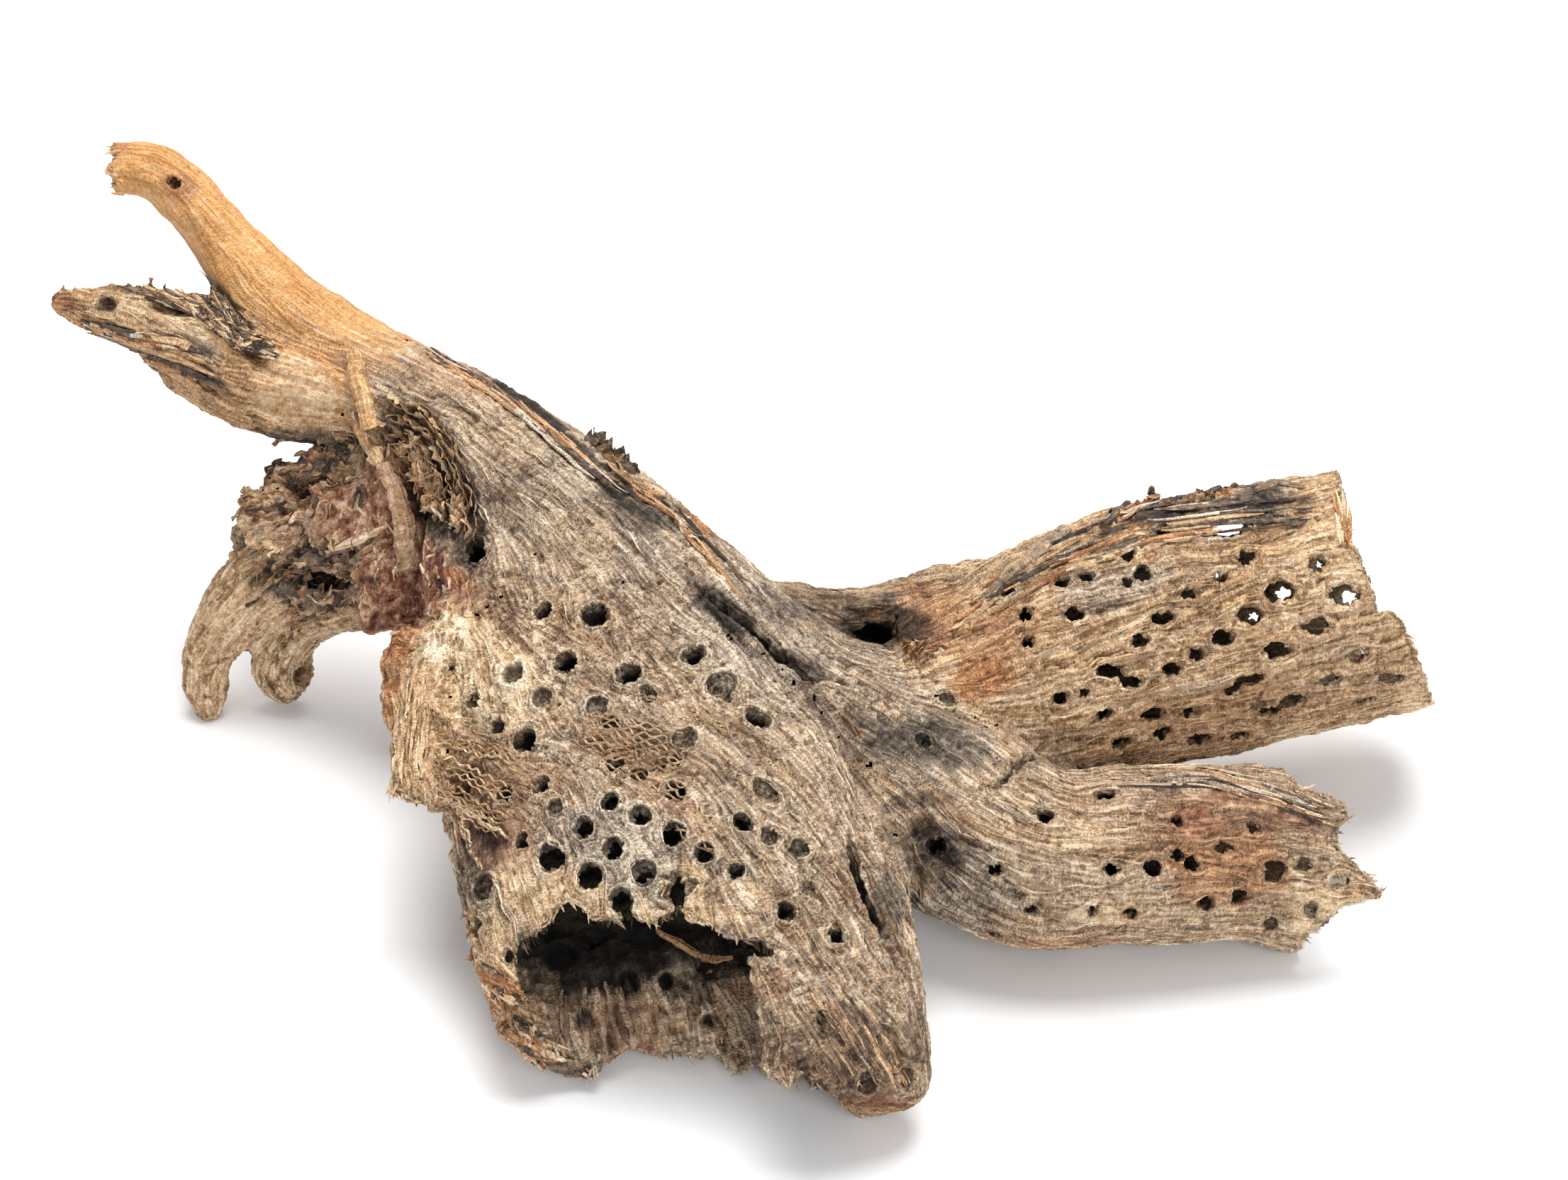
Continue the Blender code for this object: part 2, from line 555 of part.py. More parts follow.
def thin_out(wood):
    """Fewer, larger triangles."""
    wood.data.calc_loop_triangles()
    fewer = wood.modifiers.new("fewer_faces", "DECIMATE")
    fewer.ratio = TRIANGLES / len(wood.data.loop_triangles)
    settle(wood)


def island(start):
    """All the faces that join up with this one."""
    found = {start}
    edge_of = [start]
    while edge_of:
        face = edge_of.pop()
        for edge in face.edges:
            for other in edge.link_faces:
                if other not in found:
                    found.add(other)
                    edge_of.append(other)
    return found


def set_down(wood):
    """Drops loose scraps, wears the low points flat and puts the origin under the middle of the piece."""
    mesh = bmesh.new()
    mesh.from_mesh(wood.data)
    left = set(mesh.faces)
    main = set()
    while left:
        found = island(next(iter(left)))
        left -= found
        main = max(main, found, key=len)
    bmesh.ops.delete(mesh, geom=[face for face in mesh.faces if face not in main], context="FACES")
    everything = list(mesh.verts) + list(mesh.edges) + list(mesh.faces)
    floor = Vector((0, 0, TABLE))
    cut = bmesh.ops.bisect_plane(mesh, geom=everything, plane_co=floor, plane_no=(0, 0, -1), clear_outer=True)
    rim = [item for item in cut["geom_cut"] if isinstance(item, bmesh.types.BMEdge)]
    bmesh.ops.holes_fill(mesh, edges=rim)
    bmesh.ops.triangulate(mesh, faces=mesh.faces)
    low = Vector([min(vertex.co[k] for vertex in mesh.verts) for k in range(3)])
    high = Vector([max(vertex.co[k] for vertex in mesh.verts) for k in range(3)])
    middle = Vector(((low.x + high.x) / 2, (low.y + high.y) / 2, low.z))
    bmesh.ops.translate(mesh, verts=mesh.verts, vec=-middle)
    mesh.to_mesh(wood.data)
    mesh.free()


def paint(wood):
    """Dry brown wood."""
    look = bpy.data.materials.new("weathered_wood")
    look.use_nodes = True
    shader = look.node_tree.nodes["Principled BSDF"]
    shader.inputs["Base Color"].default_value = (*WOOD_COLOUR, 1)
    shader.inputs["Roughness"].default_value = WOOD_ROUGHNESS
    wood.data.materials.clear()
    wood.data.materials.append(look)


for old in list(bpy.data.objects):
    bpy.data.objects.remove(old)

wood = make_wood()
hollow = make_hollow(wood)
carve(wood, hollow)
bpy.data.objects.remove(hollow)
thin_out(wood)
set_down(wood)
paint(wood)
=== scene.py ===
# %% [markdown]
# # A cholla skeleton, from first limb to last splinter
# When a cholla cactus dies its flesh goes first. What stays is this: a hollow trunk of fused fibres, full of
# oval holes where the flesh once grew through. The solid model already has its limbs, hollows and main holes.
# This script makes the same wood again at the scale of its grain, and gives it colour, light and a camera.
# The skeleton grew as one piece, so everything here belongs to one body and one material.

# %% Load the frame
import math
import random
import time

import bmesh
import bpy
import numpy as np
from mathutils import Matrix, Vector
from mathutils.bvhtree import BVHTree
from mathutils.kdtree import KDTree


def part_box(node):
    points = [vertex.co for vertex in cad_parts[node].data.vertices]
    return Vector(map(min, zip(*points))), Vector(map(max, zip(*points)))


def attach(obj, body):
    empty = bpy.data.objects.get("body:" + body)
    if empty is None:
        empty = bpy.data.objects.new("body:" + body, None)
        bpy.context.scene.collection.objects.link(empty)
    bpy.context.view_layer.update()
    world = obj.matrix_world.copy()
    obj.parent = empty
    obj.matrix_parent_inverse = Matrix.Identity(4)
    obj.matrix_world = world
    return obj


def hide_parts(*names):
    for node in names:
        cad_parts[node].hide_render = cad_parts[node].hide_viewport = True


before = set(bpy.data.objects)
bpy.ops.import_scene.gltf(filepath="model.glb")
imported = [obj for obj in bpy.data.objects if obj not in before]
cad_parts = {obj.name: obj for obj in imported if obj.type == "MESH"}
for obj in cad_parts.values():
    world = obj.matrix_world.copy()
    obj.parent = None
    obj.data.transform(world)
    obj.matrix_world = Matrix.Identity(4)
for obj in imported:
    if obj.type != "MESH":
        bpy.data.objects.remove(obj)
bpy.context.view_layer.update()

NODE = "cholla_skeleton"
BODY = "root"
MM = 0.001
STARTED = time.time()

# %% [markdown]
# ## Places are given as they show in the front view
# A twisted piece like this has no straight axes to measure from. What can be read well is the front view:
# how far across and down a point shows, and a guess of how far away it is. One step is a quarter of a
# millimetre at the middle of the piece, and the eye is 1.1 m away, looking 35 degrees down.

# %% The front view
PICTURE_MIDDLE = (1106.0, 832.5)
PICTURE_STEP = 0.25 * MM
VIEW_TILT = math.radians(35)
EYE_DISTANCE = 1100 * MM
RIGHT = Vector((1, 0, 0))
AWAY = Vector((0, math.cos(VIEW_TILT), -math.sin(VIEW_TILT)))
UP = Vector((0, math.sin(VIEW_TILT), math.cos(VIEW_TILT)))
seen_middle = Vector((0.0, 0.0, 85.0)) * MM


def seen(across, down, away):
    """The point that shows at this place in the picture, so many millimetres beyond the middle."""
    away = away * MM
    step = PICTURE_STEP * (1 + away / EYE_DISTANCE)
    return (seen_middle + AWAY * away + RIGHT * (across - PICTURE_MIDDLE[0]) * step
            + UP * (PICTURE_MIDDLE[1] - down) * step)


def picture_of(points):
    """Where points show in the picture: the other way round from seen()."""
    from_middle = points - np.array(seen_middle)
    step = PICTURE_STEP * (1 + from_middle @ np.array(AWAY) / EYE_DISTANCE)
    across = PICTURE_MIDDLE[0] + from_middle @ np.array(RIGHT) / step
    down = PICTURE_MIDDLE[1] - from_middle @ np.array(UP) / step
    return across, down


print("one step in the picture is", PICTURE_STEP / MM, "mm at the middle")

# %% [markdown]
# ## The limbs
# Each limb is a row of oval stations: across, down, away, half width as seen and half depth. They are the
# stations of the solid model, so the fine wood keeps its form. A limb could be a curve with a bevel, but an
# oval one that swells and thins is easier to say as stations, with a smooth curve through them.

# %% Limb stations
LIMBS = {
    "trunk": (
        (470, 545, 48, 21, 21), (560, 562, 40, 22, 22), (650, 612, 25, 24, 24), (740, 685, 8, 27, 27),
        (830, 757, -8, 29, 30), (920, 828, -20, 29, 32), (1010, 900, -28, 28, 33),
        (1110, 975, -34, 26, 33), (1210, 1022, -34, 28, 33), (1310, 1045, -30, 30, 33)),
    "antler": (
        (140, 238, 50, 9.5, 8), (200, 240, 50, 10.5, 9.5), (248, 264, 49, 11.5, 10.5),
        (300, 320, 47, 12, 11.5), (352, 386, 46, 14.5, 13.5), (415, 455, 46, 18, 17),
        (480, 515, 46, 21, 20), (550, 560, 42, 22, 21)),
    "left_prong": (
        (72, 422, 42, 3.5, 3.5), (100, 430, 42, 6.5, 6), (150, 440, 41, 10, 9), (200, 452, 40, 12.5, 12),
        (260, 478, 40, 17, 15), (330, 515, 41, 21, 19), (410, 540, 43, 22, 20), (490, 550, 45, 21, 20)),
    "high_limb": (
        (1290, 1010, -28, 34, 32), (1390, 975, -20, 38, 34), (1490, 935, -12, 44, 37),
        (1590, 905, -5, 46.5, 38), (1700, 882, 2, 46.5, 38), (1800, 862, 9, 46, 38),
        (1900, 842, 15, 45, 37), (2060, 815, 22, 44, 36)),
    "low_limb": (
        (1290, 1090, -36, 34, 30), (1380, 1170, -46, 34, 30), (1480, 1210, -48, 31, 29),
        (1600, 1208, -46, 30, 28), (1720, 1204, -41, 30, 28), (1820, 1215, -36, 31, 28),
        (1900, 1222, -33, 30, 27), (1990, 1228, -30, 28, 26)),
    "front_limb": (
        (830, 850, -12, 40, 30), (852, 960, -34, 62, 34), (888, 1080, -54, 66, 34),
        (928, 1200, -74, 68, 34), (966, 1310, -88, 70, 33), (1000, 1420, -99, 70, 32),
        (1026, 1530, -107, 66, 30), (1040, 1600, -113, 62, 28)),
    "tan_stub": (
        (650, 880, -26, 15, 13), (618, 950, -40, 11, 11), (606, 1010, -52, 10, 10),
        (594, 1080, -63, 10, 9), (584, 1140, -70, 9, 8)),
    "brown_flake": (
        (580, 890, -38, 7, 5), (556, 935, -42, 5.5, 3.5), (554, 985, -46, 4.5, 3.5),
        (564, 1035, -50, 3, 3)),
    "purple_stump": (
        (600, 640, 30, 20, 17), (588, 730, 34, 20, 17), (588, 810, 40, 21, 18), (592, 868, 46, 21, 18)),
    "neck": ((690, 700, 14, 20, 20), (700, 800, 0, 26, 24), (730, 900, -18, 34, 28)),
    "root_roll": (
        (560, 700, 36, 12, 11), (480, 728, 46, 12, 11), (400, 742, 54, 11, 10), (345, 768, 58, 8, 8)),
    "root_crest": ((540, 640, 40, 10, 10), (460, 672, 46, 8, 8), (390, 684, 50, 6, 5)),
    "root_mat": ((560, 800, 42, 14, 12), (440, 812, 54, 14, 12), (375, 795, 62, 11, 10)),
    "left_stub": (
        (400, 790, 56, 13, 12), (350, 840, 61, 14.5, 12), (312, 885, 66, 12.5, 11),
        (290, 930, 71, 9.5, 8.5), (290, 975, 75, 8, 7.5), (296, 1014, 78, 5, 5)),
    "claw_stub": (
        (520, 855, 52, 9, 9), (450, 868, 60, 10, 9), (408, 902, 68, 11, 9), (398, 945, 75, 11, 9),
        (425, 975, 78, 8, 8)),
    "back_saddle": (
        (960, 800, -20, 12, 20), (1030, 854, -8, 12, 22), (1110, 870, 0, 12, 26), (1190, 876, 4, 12, 28),
        (1260, 876, 4, 14, 28), (1340, 870, 4, 18, 28), (1420, 870, 2, 20, 28)),
    "bark_rib": (
        (600, 505, 38, 4, 5), (700, 552, 18, 4.5, 5), (790, 624, 2, 5, 5), (870, 690, -12, 5, 5),
        (950, 728, -20, 6, 6), (1010, 795, -26, 6, 6), (1080, 855, -28, 5, 5)),
    "split_sliver": (
        (1200, 1090, -48, 12, 12), (1240, 1200, -62, 8, 10), (1266, 1270, -72, 5.5, 8),
        (1287, 1350, -82, 4, 5)),
}
print(len(LIMBS), "limbs,", sum(len(rows) for rows in LIMBS.values()), "stations")

# %% [markdown]
# ## What is cut away
# The hollows, the cracks, the broken ends and the holes are the solid model's too. The front view shows the
# main holes well enough to list them one by one. They could be laid out by a rule alone, but the eye would
# miss the pattern of this piece. The sides that the view hides do follow a rule.

# %% Hollows, cracks, broken ends and holes
# Splinters that stand out of the broken bark: across, down, away at the root, the same at the tip, thickness
SPLINTERS = (
    ((850, 690, -10), (838, 600, -6), 5), ((880, 705, -14), (893, 655, -12), 4),
    ((244, 430, 38), (254, 382, 36), 3), ((215, 420, 42), (218, 388, 42), 3),
    ((1510, 800, 0), (1500, 736, 2), 4), ((1640, 760, 4), (1622, 683, 6), 6),
    ((1740, 740, 8), (1733, 684, 9), 3), ((300, 860, 70), (268, 836, 70), 5),
    ((1400, 850, -4), (1502, 752, 0), 10), ((1536, 790, 0), (1548, 742, 2), 8),
    ((1586, 770, 2), (1594, 712, 4), 9), ((1650, 740, 6), (1692, 692, 8), 5),
    ((1770, 730, 10), (1792, 684, 12), 10), ((1846, 730, 12), (1856, 686, 14), 9),
    ((1700, 740, 8), (1712, 690, 10), 8),
)

# Hollows: the same as limbs, cut out of them
HOLLOWS = {
    "high_hollow": (
        (1440, 955, -15, 24, 22), (1500, 932, -12, 35, 30), (1590, 905, -5, 40, 32),
        (1700, 882, 2, 40.5, 32), (1800, 862, 9, 40, 32), (1900, 842, 15, 39.5, 31.5),
        (2120, 806, 26, 39, 31)),
    "low_hollow": (
        (1520, 1212, -48, 14, 12), (1600, 1208, -46, 22, 20), (1720, 1204, -41, 24, 22),
        (1820, 1215, -36, 25, 22), (1900, 1222, -33, 25, 22), (2060, 1234, -28, 25, 22)),
    "front_hollow": (
        (842, 1030, -48, 20, 14), (880, 1120, -63, 46, 23), (915, 1220, -80, 54, 25),
        (935, 1320, -92, 55, 25), (950, 1420, -102, 54, 24), (950, 1530, -112, 54, 23),
        (950, 1680, -128, 54, 22)),
    "root_hollow": ((400, 822, 40, 5, 6), (450, 822, 36, 7, 8), (497, 818, 34, 5, 6)),
}

# Cracks that follow the surface: half width, depth, and the line as it shows
CRACKS = (
    (2.2, 9,
     ((940, 786), (983, 823), (1031, 861), (1063, 882), (1101, 925), (1138, 951), (1197, 965), (1232, 984))),
    (1.6, 7, ((1348, 1134), (1400, 1112), (1442, 1076), (1480, 1054), (1530, 1040))),
    (2.2, 12, ((1195, 1172), (1208, 1216), (1223, 1262), (1242, 1301), (1262, 1346))),
    (1.4, 4, ((640, 508), (700, 545), (760, 592), (820, 642), (866, 688))),
    (1.3, 4, ((1078, 1150), (1130, 1228), (1184, 1312), (1250, 1402))),
    (1.3, 4, ((590, 830), (612, 770), (628, 700), (604, 640))),
    (1.3, 4, ((345, 440), (352, 480), (385, 505))),
    (1.6, 6, ((520, 905), (560, 885), (610, 868), (650, 856))),
)

# Raised strips of bark and twig that follow the surface: half width, height, and the line
STRIPS = (
    (2.5, 2.5, ((850, 650), (880, 675), (910, 686), (942, 702), (966, 722), (988, 748), (1004, 772))),
    (2.2, 3.0, ((505, 528), (515, 560), (521, 592), (531, 622), (543, 655))),
    (3.5, 3.5, ((545, 690), (562, 720), (576, 756), (582, 796))),
    (2.5, 3.0, ((600, 566), (640, 600), (664, 650), (676, 700), (681, 752))),
    (2.5, 2.5, ((286, 400), (294, 418), (303, 438), (322, 472), (348, 496))),
)

# Bark plates: how near and how far they lie, and their outline in the picture
PLATES = (
    ((18, 30),
     ((503, 792), (560, 776), (622, 762), (652, 792), (652, 850), (620, 862), (562, 884), (512, 894))),
    ((26, 38),
     ((446, 702), (502, 690), (560, 700), (566, 744), (540, 750), (502, 768), (466, 778), (440, 750))),
    ((34, 44), ((346, 704), (402, 684), (452, 700), (440, 752), (392, 770), (338, 776))),
    ((-66, -58),
     ((548, 1060), (560, 1010), (600, 990), (640, 1010), (640, 1090), (604, 1130), (560, 1122))),
)

# The comb of splinters along the top of the left prong: its line, count, lengths and lean
COMB_LINE = ((92, 414, 42), (144, 408, 41), (194, 402, 40), (244, 398, 38))
COMB_COUNT = 13
COMB_LENGTH = (14, 26)
COMB_THICKNESS = 2.6
COMB_ROOT = 12
COMB_DEPTH = (-5, 5)
COMB_LEAN = (-6, 8)
COMB_SEED = 7

# Weathered swells and furrows: height and spacing
SWELLS = ((1.5, 26), (0.7, 9))

# Outlines in the picture of what has broken away, and from how near to how far it is gone
BROKEN = {
    "high_end": (
        (-160, 160),
        ((1884, 640), (1888, 685), (1897, 735), (1905, 765), (1920, 790), (1935, 830), (1945, 872),
         (1962, 864), (1976, 876), (1990, 902), (2006, 948), (2024, 996), (2100, 1010), (2200, 900),
         (2200, 640))),
    "low_end": (
        (-160, 160),
        ((1800, 1040), (1812, 1092), (1848, 1118), (1882, 1128), (1912, 1148), (1889, 1163), (1884, 1196),
         (1922, 1230), (1958, 1262), (1892, 1282), (1838, 1314), (1820, 1354), (1794, 1342), (1756, 1316),
         (1741, 1340), (1700, 1330), (1700, 1420), (2150, 1420), (2150, 1075), (2000, 1050))),
    "front_end": (
        (-260, 160),
        ((560, 1150), (612, 1146), (638, 1190), (640, 1232), (654, 1310), (680, 1384), (712, 1460),
         (744, 1492), (790, 1514), (826, 1522), (852, 1498), (894, 1478), (930, 1490), (1005, 1486),
         (1050, 1514), (1062, 1500), (1106, 1526), (1132, 1514), (1190, 1556), (1216, 1580), (1240, 1569),
         (1290, 1594), (1316, 1556), (1321, 1490), (1333, 1456), (1310, 1408), (1290, 1364), (1400, 1420),
         (1400, 1760), (560, 1760))),
    "ear_end": (
        (-160, 60),
        ((500, 1100), (546, 1098), (552, 1118), (572, 1124), (590, 1134), (606, 1112), (606, 1200),
         (500, 1200))),
    "antler_end": (
        (-160, 160),
        ((110, 180), (160, 192), (153, 212), (165, 226), (152, 238), (166, 252), (155, 266), (163, 280),
         (160, 310), (110, 310))),
}

# The broken rim over the front hollow, and how far away the hollow's middle is at its top and its foot
RIM = (
    (738, 1400), (733, 1336), (755, 1322), (774, 1302), (790, 1277), (804, 1268), (818, 1274), (836, 1296),
    (864, 1300), (898, 1294), (920, 1301), (944, 1294), (958, 1279), (980, 1300), (1000, 1297),
    (1052, 1328), (1088, 1346), (1098, 1400), (1104, 1480), (1110, 1760), (770, 1760), (765, 1480),
)
RIM_NEAR = -260
RIM_TOP = (1270, -88)
RIM_FOOT = (1760, -150)
# Right of here the cut slants, so that the inner wall runs out into the outer one without a step
RIM_SLANT_FROM = 1000
RIM_SLANT = 0.9
RIM_SKIN = -132

# Holes, sunken eyes and deep pockets as they show: across, down, length, width
HIGH_LIMB_HOLES = (
    (1722, 741, 20, 8), (1858, 795, 5.5, 6.5), (1806, 834, 10.5, 8), (1898, 840, 11.5, 8),
    (1764, 867, 9, 6.5), (1858, 884, 9, 6), (1760, 786, 5.5, 6.5), (1722, 814, 5, 5), (1679, 838, 5.5, 5),
    (1590, 780, 6, 6), (1641, 749, 5.5, 4.5), (1805, 730, 7.5, 5), (1612, 808, 5.5, 6), (1590, 822, 4, 4),
    (1642, 871, 8, 5), (1609, 903, 6.5, 4.5), (1725, 902, 8.5, 5.5), (1689, 925, 6, 5.5), (1654, 945, 7, 5),
    (1566, 946, 10, 4.5), (1597, 964, 9, 4.5), (1805, 918, 11, 6.5), (1915, 925, 9, 5),
    (1767, 958, 10.5, 4.5), (1877, 961, 7.5, 4.5), (1963, 958, 11, 4.5), (1738, 976, 6.5, 4),
    (1824, 990, 10.5, 4.5), (1627, 1008, 9.5, 4.5), (1678, 1007, 7, 4), (1789, 1006, 7.5, 4),
    (1923, 990, 10, 4), (1582, 1050, 9.5, 4.5), (1639, 1037, 7, 6), (1693, 1045, 8.5, 5.5),
    (1445, 867, 6, 6), (1518, 865, 6, 6), (1421, 834, 5, 5), (1498, 820, 5.5, 5), (1533, 812, 5, 4.5),
    (1450, 905, 5, 4.5), (1496, 985, 6.5, 4.5), (1530, 978, 4, 4), (1560, 1008, 6, 4), (1748, 1040, 7, 4.5),
)
LOW_LIMB_HOLES = (
    (1568, 1228, 6, 5), (1626, 1226, 6, 5.5), (1683, 1220, 5.5, 5), (1661, 1206, 4.5, 4),
    (1727, 1197, 6.5, 5), (1747, 1266, 5.5, 5.5), (1702, 1276, 5.5, 5.5), (1840, 1221, 5.5, 5),
    (1890, 1244, 6.5, 5), (1792, 1304, 5.5, 4.5), (1850, 1284, 5, 6), (1798, 1230, 8, 7),
    (1660, 1157, 4.5, 4.5), (1560, 1120, 8, 4), (1401, 1320, 6, 5), (1319, 1194, 6, 6.5),
    (1455, 1286, 4.5, 4), (1541, 1286, 4.5, 4), (1658, 1078, 8, 4), (1769, 1168, 5.5, 5),
    (1475, 1150, 6, 5), (1403, 1228, 5, 4.5), (1596, 1290, 5, 4.5),
)
FRONT_LIMB_EYES = (
    (775, 1210, 10, 8), (830, 1236, 8.5, 8), (907, 1231, 8, 8), (865, 1198, 7.5, 7), (877, 1272, 8.5, 7),
    (823, 1168, 7, 6.5), (861, 1131, 6.5, 6.5), (949, 1177, 7.5, 7.5), (903, 1151, 7, 7), (952, 1118, 7, 6),
    (993, 1202, 6.5, 6), (1048, 1160, 6.5, 5.5), (1081, 1117, 10, 7), (735, 1187, 5.5, 5.5),
    (682, 1252, 8, 9), (671, 1309, 5.5, 8.5), (763, 1108, 6, 6.5), (741, 1045, 7.5, 8.5), (700, 1024, 6, 6),
    (712, 1122, 6, 6), (966, 1041, 7, 8), (950, 1072, 5.5, 5.5), (956, 1256, 5.5, 12), (839, 868, 9, 9),
    (797, 934, 8, 8), (725, 954, 8, 8), (765, 862, 6.5, 6.5), (887, 951, 8, 8), (914, 979, 7, 5),
    (978, 924, 6.5, 9), (1016, 966, 8, 11), (1070, 1013, 9, 6.5), (842, 996, 7, 7), (861, 1020, 6, 5),
    (1109, 1286, 6, 6), (1038, 1229, 5, 5.5), (1225, 1530, 7, 6), (1280, 1520, 6, 6), (1165, 1440, 6, 5),
    (783, 1140, 6, 5.5), (867, 1080, 6, 6), (668, 770, 7, 7), (1335, 987, 5.5, 5), (1302, 1046, 5.5, 5),
    (669, 990, 6, 6), (1130, 1196, 6, 5), (1180, 1320, 6, 5), (763, 985, 7, 6.5), (901, 1095, 6, 5),
    (1084, 1180, 6, 5.5),
)
# Eyes that are still filled with whorled wood, by where they show
FILLED_EYES = {(830, 1236), (907, 1231), (865, 1198), (877, 1272), (682, 1252), (842, 996), (861, 1020),
               (966, 1041), (783, 1140), (1081, 1117), (725, 954), (1016, 966), (669, 990), (903, 1151),
               (1335, 987), (1302, 1046), (1225, 1530), (1280, 1520), (1165, 1440), (1130, 1196),
               (914, 979), (763, 985), (901, 1095), (1084, 1180)}
# Holes that let the table show through the whole limb
SEE_THROUGH = {(1858, 795), (1806, 834), (1898, 840), (1764, 867), (1722, 741), (1792, 1304), (1850, 1284),
               (421, 633), (463, 655)}
STUB_HOLES = (
    (432, 952, 9, 10), (245, 258, 6, 4.5),
)
POCKETS = (
    (1230, 898, 14, 8), (1256, 886, 4, 9), (668, 778, 8, 9), (446, 822, 16, 9), (1036, 1338, 24, 5),
)
# Small holes and dimples that only the fine wood has
FINE_HOLES = (
    (1695, 808, 3.5, 2), (1741, 788, 2.4, 2.2), (1826, 796, 2.6, 2.4), (1658, 840, 2.4, 2.2),
    (1558, 781, 3.6, 2), (1831, 884, 3, 2.2), (1926, 883, 3.2, 2.2), (1886, 931, 3.4, 2),
    (1850, 962, 3, 2.4), (1623, 942, 2.4, 2.2), (1497, 866, 2.6, 2.6), (1485, 1022, 4, 2),
    (1470, 1000, 3, 2), (1540, 1022, 4, 2.2), (1600, 1082, 4.5, 2), (1712, 858, 3, 2), (1905, 958, 3.4, 2),
    (1829, 1272, 2.4, 2.2), (1517, 1258, 2, 2), (1903, 1219, 2.8, 2.4), (1581, 1309, 5, 2.6),
    (1431, 1323, 3, 2.4), (1475, 1313, 3.4, 2), (1353, 1168, 3, 2.4), (1302, 1211, 3, 3),
    (1294, 1284, 2, 5), (1284, 1300, 1.8, 5), (1031, 988, 4, 3), (999, 1145, 4.4, 2.8), (637, 941, 4, 4),
    (1114, 980, 3.4, 3.2), (1085, 1345, 3, 3), (1120, 1460, 3.4, 2.6), (1205, 1490, 3.6, 2.8),
    (1010, 1500, 3, 2.4), (1250, 1450, 3.6, 2.6), (1135, 1250, 3, 5), (930, 1080, 3, 3),
    (890, 1058, 3.4, 3), (700, 900, 3, 3), (735, 860, 3.6, 3.2), (690, 840, 3, 3), (421, 633, 5, 4),
    (463, 655, 4, 4), (600, 1060, 3, 4), (620, 985, 3.4, 3), (655, 1090, 3.6, 3.4), (640, 1140, 3, 3),
    (800, 1030, 3, 3), (1010, 880, 3, 2.4), (905, 905, 3.2, 2.6), (1090, 1060, 4, 3), (1130, 1110, 3.6, 3),
    (1030, 1080, 3.4, 3), (715, 1350, 3, 4), (700, 1400, 3, 4), (740, 1470, 3, 3),
)
PIT_DEPTH = 8 * MM
POCKET_DEPTH = 20 * MM
THROUGH_DEPTH = 13 * MM
RIGHT_THROUGH = 115 * MM
HOLE_GROW = 1.1
THROUGH_SHARE = 0.78
THROUGH_SHIFT = 0.10
SHALLOW_DEPTH = 6 * MM
FAR_SPIRALS = (
    ("high_limb", 44, 8.5, 5.5, THROUGH_DEPTH), ("low_limb", 26, 7, 5.5, THROUGH_DEPTH),
    ("front_limb", 28, 8, 7, THROUGH_DEPTH), ("trunk", 24, 7.5, 6.5, PIT_DEPTH),
)
GOLDEN_TURN = math.pi * (3 - math.sqrt(5))
FAR_JITTER = 0.12
FAR_SIZES = (0.8, 1.15)
SPIRAL_SEED = 41
TURNED_AWAY = 0.12
FAR_REACH = 150 * MM
print(len(HIGH_LIMB_HOLES) + len(LOW_LIMB_HOLES) + len(FRONT_LIMB_EYES) + len(FINE_HOLES),
      "holes are listed")

# %% [markdown]
# ## From stations to closed shapes
# A smooth curve runs through the stations, and an oval ring of vertices stands on it every few millimetres.
# Rings joined by faces make a closed limb. The same tool makes the cores that hollow the limbs out, the
# tapered plugs that cut holes, and slabs that break the ends off along a ragged outline.

# %% Shape tools
RING_SIDES = 24
SPIKE_SIDES = 8
STATION_STEP = 4 * MM
PLUG_SIDES = 14
PLUG_STAND_OUT = 5 * MM
PLUG_TAPER = 0.72
LINE_STEP = 10
LINE_END = 0.3
EYE = seen_middle - AWAY * EYE_DISTANCE


def between(before, start, end, after, t):
    """Catmull-Rom curve from start to end."""
    return (start * 2 + (end - before) * t + (before * 2 - start * 5 + end * 4 - after) * t * t
            + (start * 3 - before - end * 3 + after) * t * t * t) * 0.5


def smooth_path(stations):
    """Closely spaced rows of centre, tangent, half width and half depth along a smooth curve."""
    knots = [(seen(*row[:3]), row[3] * MM, row[4] * MM) for row in stations]
    knots = [knots[0]] + knots + [knots[-1]]
    rows = []
    for before, start, end, after in zip(knots, knots[1:], knots[2:], knots[3:]):
        count = max(1, round((end[0] - start[0]).length / STATION_STEP))
        for i in range(count):
            rows.append([between(before[k], start[k], end[k], after[k], i / count) for k in range(3)])
    rows.append(list(knots[-1]))
    ends = [rows[0]] + rows + [rows[-1]]
    ways = [(after[0] - before[0]).normalized() for before, after in zip(ends, ends[2:])]
    return [(row[0], way, row[1], row[2]) for row, way in zip(rows, ways)]


def oval(mesh, centre, side, depth, wide, deep, count=RING_SIDES):
    """A ring of vertices round a centre."""
    turns = [2 * math.pi * i / count for i in range(count)]
    return [mesh.verts.new(centre + side * math.cos(a) * wide + depth * math.sin(a) * deep) for a in turns]


def skin(mesh, rings):
    """Faces between rings, and a cap on each end."""
    count = len(rings[0])
    for low, high in zip(rings, rings[1:]):
        for i in range(count):
            j = (i + 1) % count
            mesh.faces.new((low[i], low[j], high[j], high[i]))
    mesh.faces.new(reversed(rings[0]))
    mesh.faces.new(rings[-1])


def add_limb(mesh, stations):
    rings = []
    for centre, tangent, wide, deep in smooth_path(stations):
        side = AWAY.cross(tangent).normalized()
        rings.append(oval(mesh, centre, side, tangent.cross(side), wide, deep))
    skin(mesh, rings)


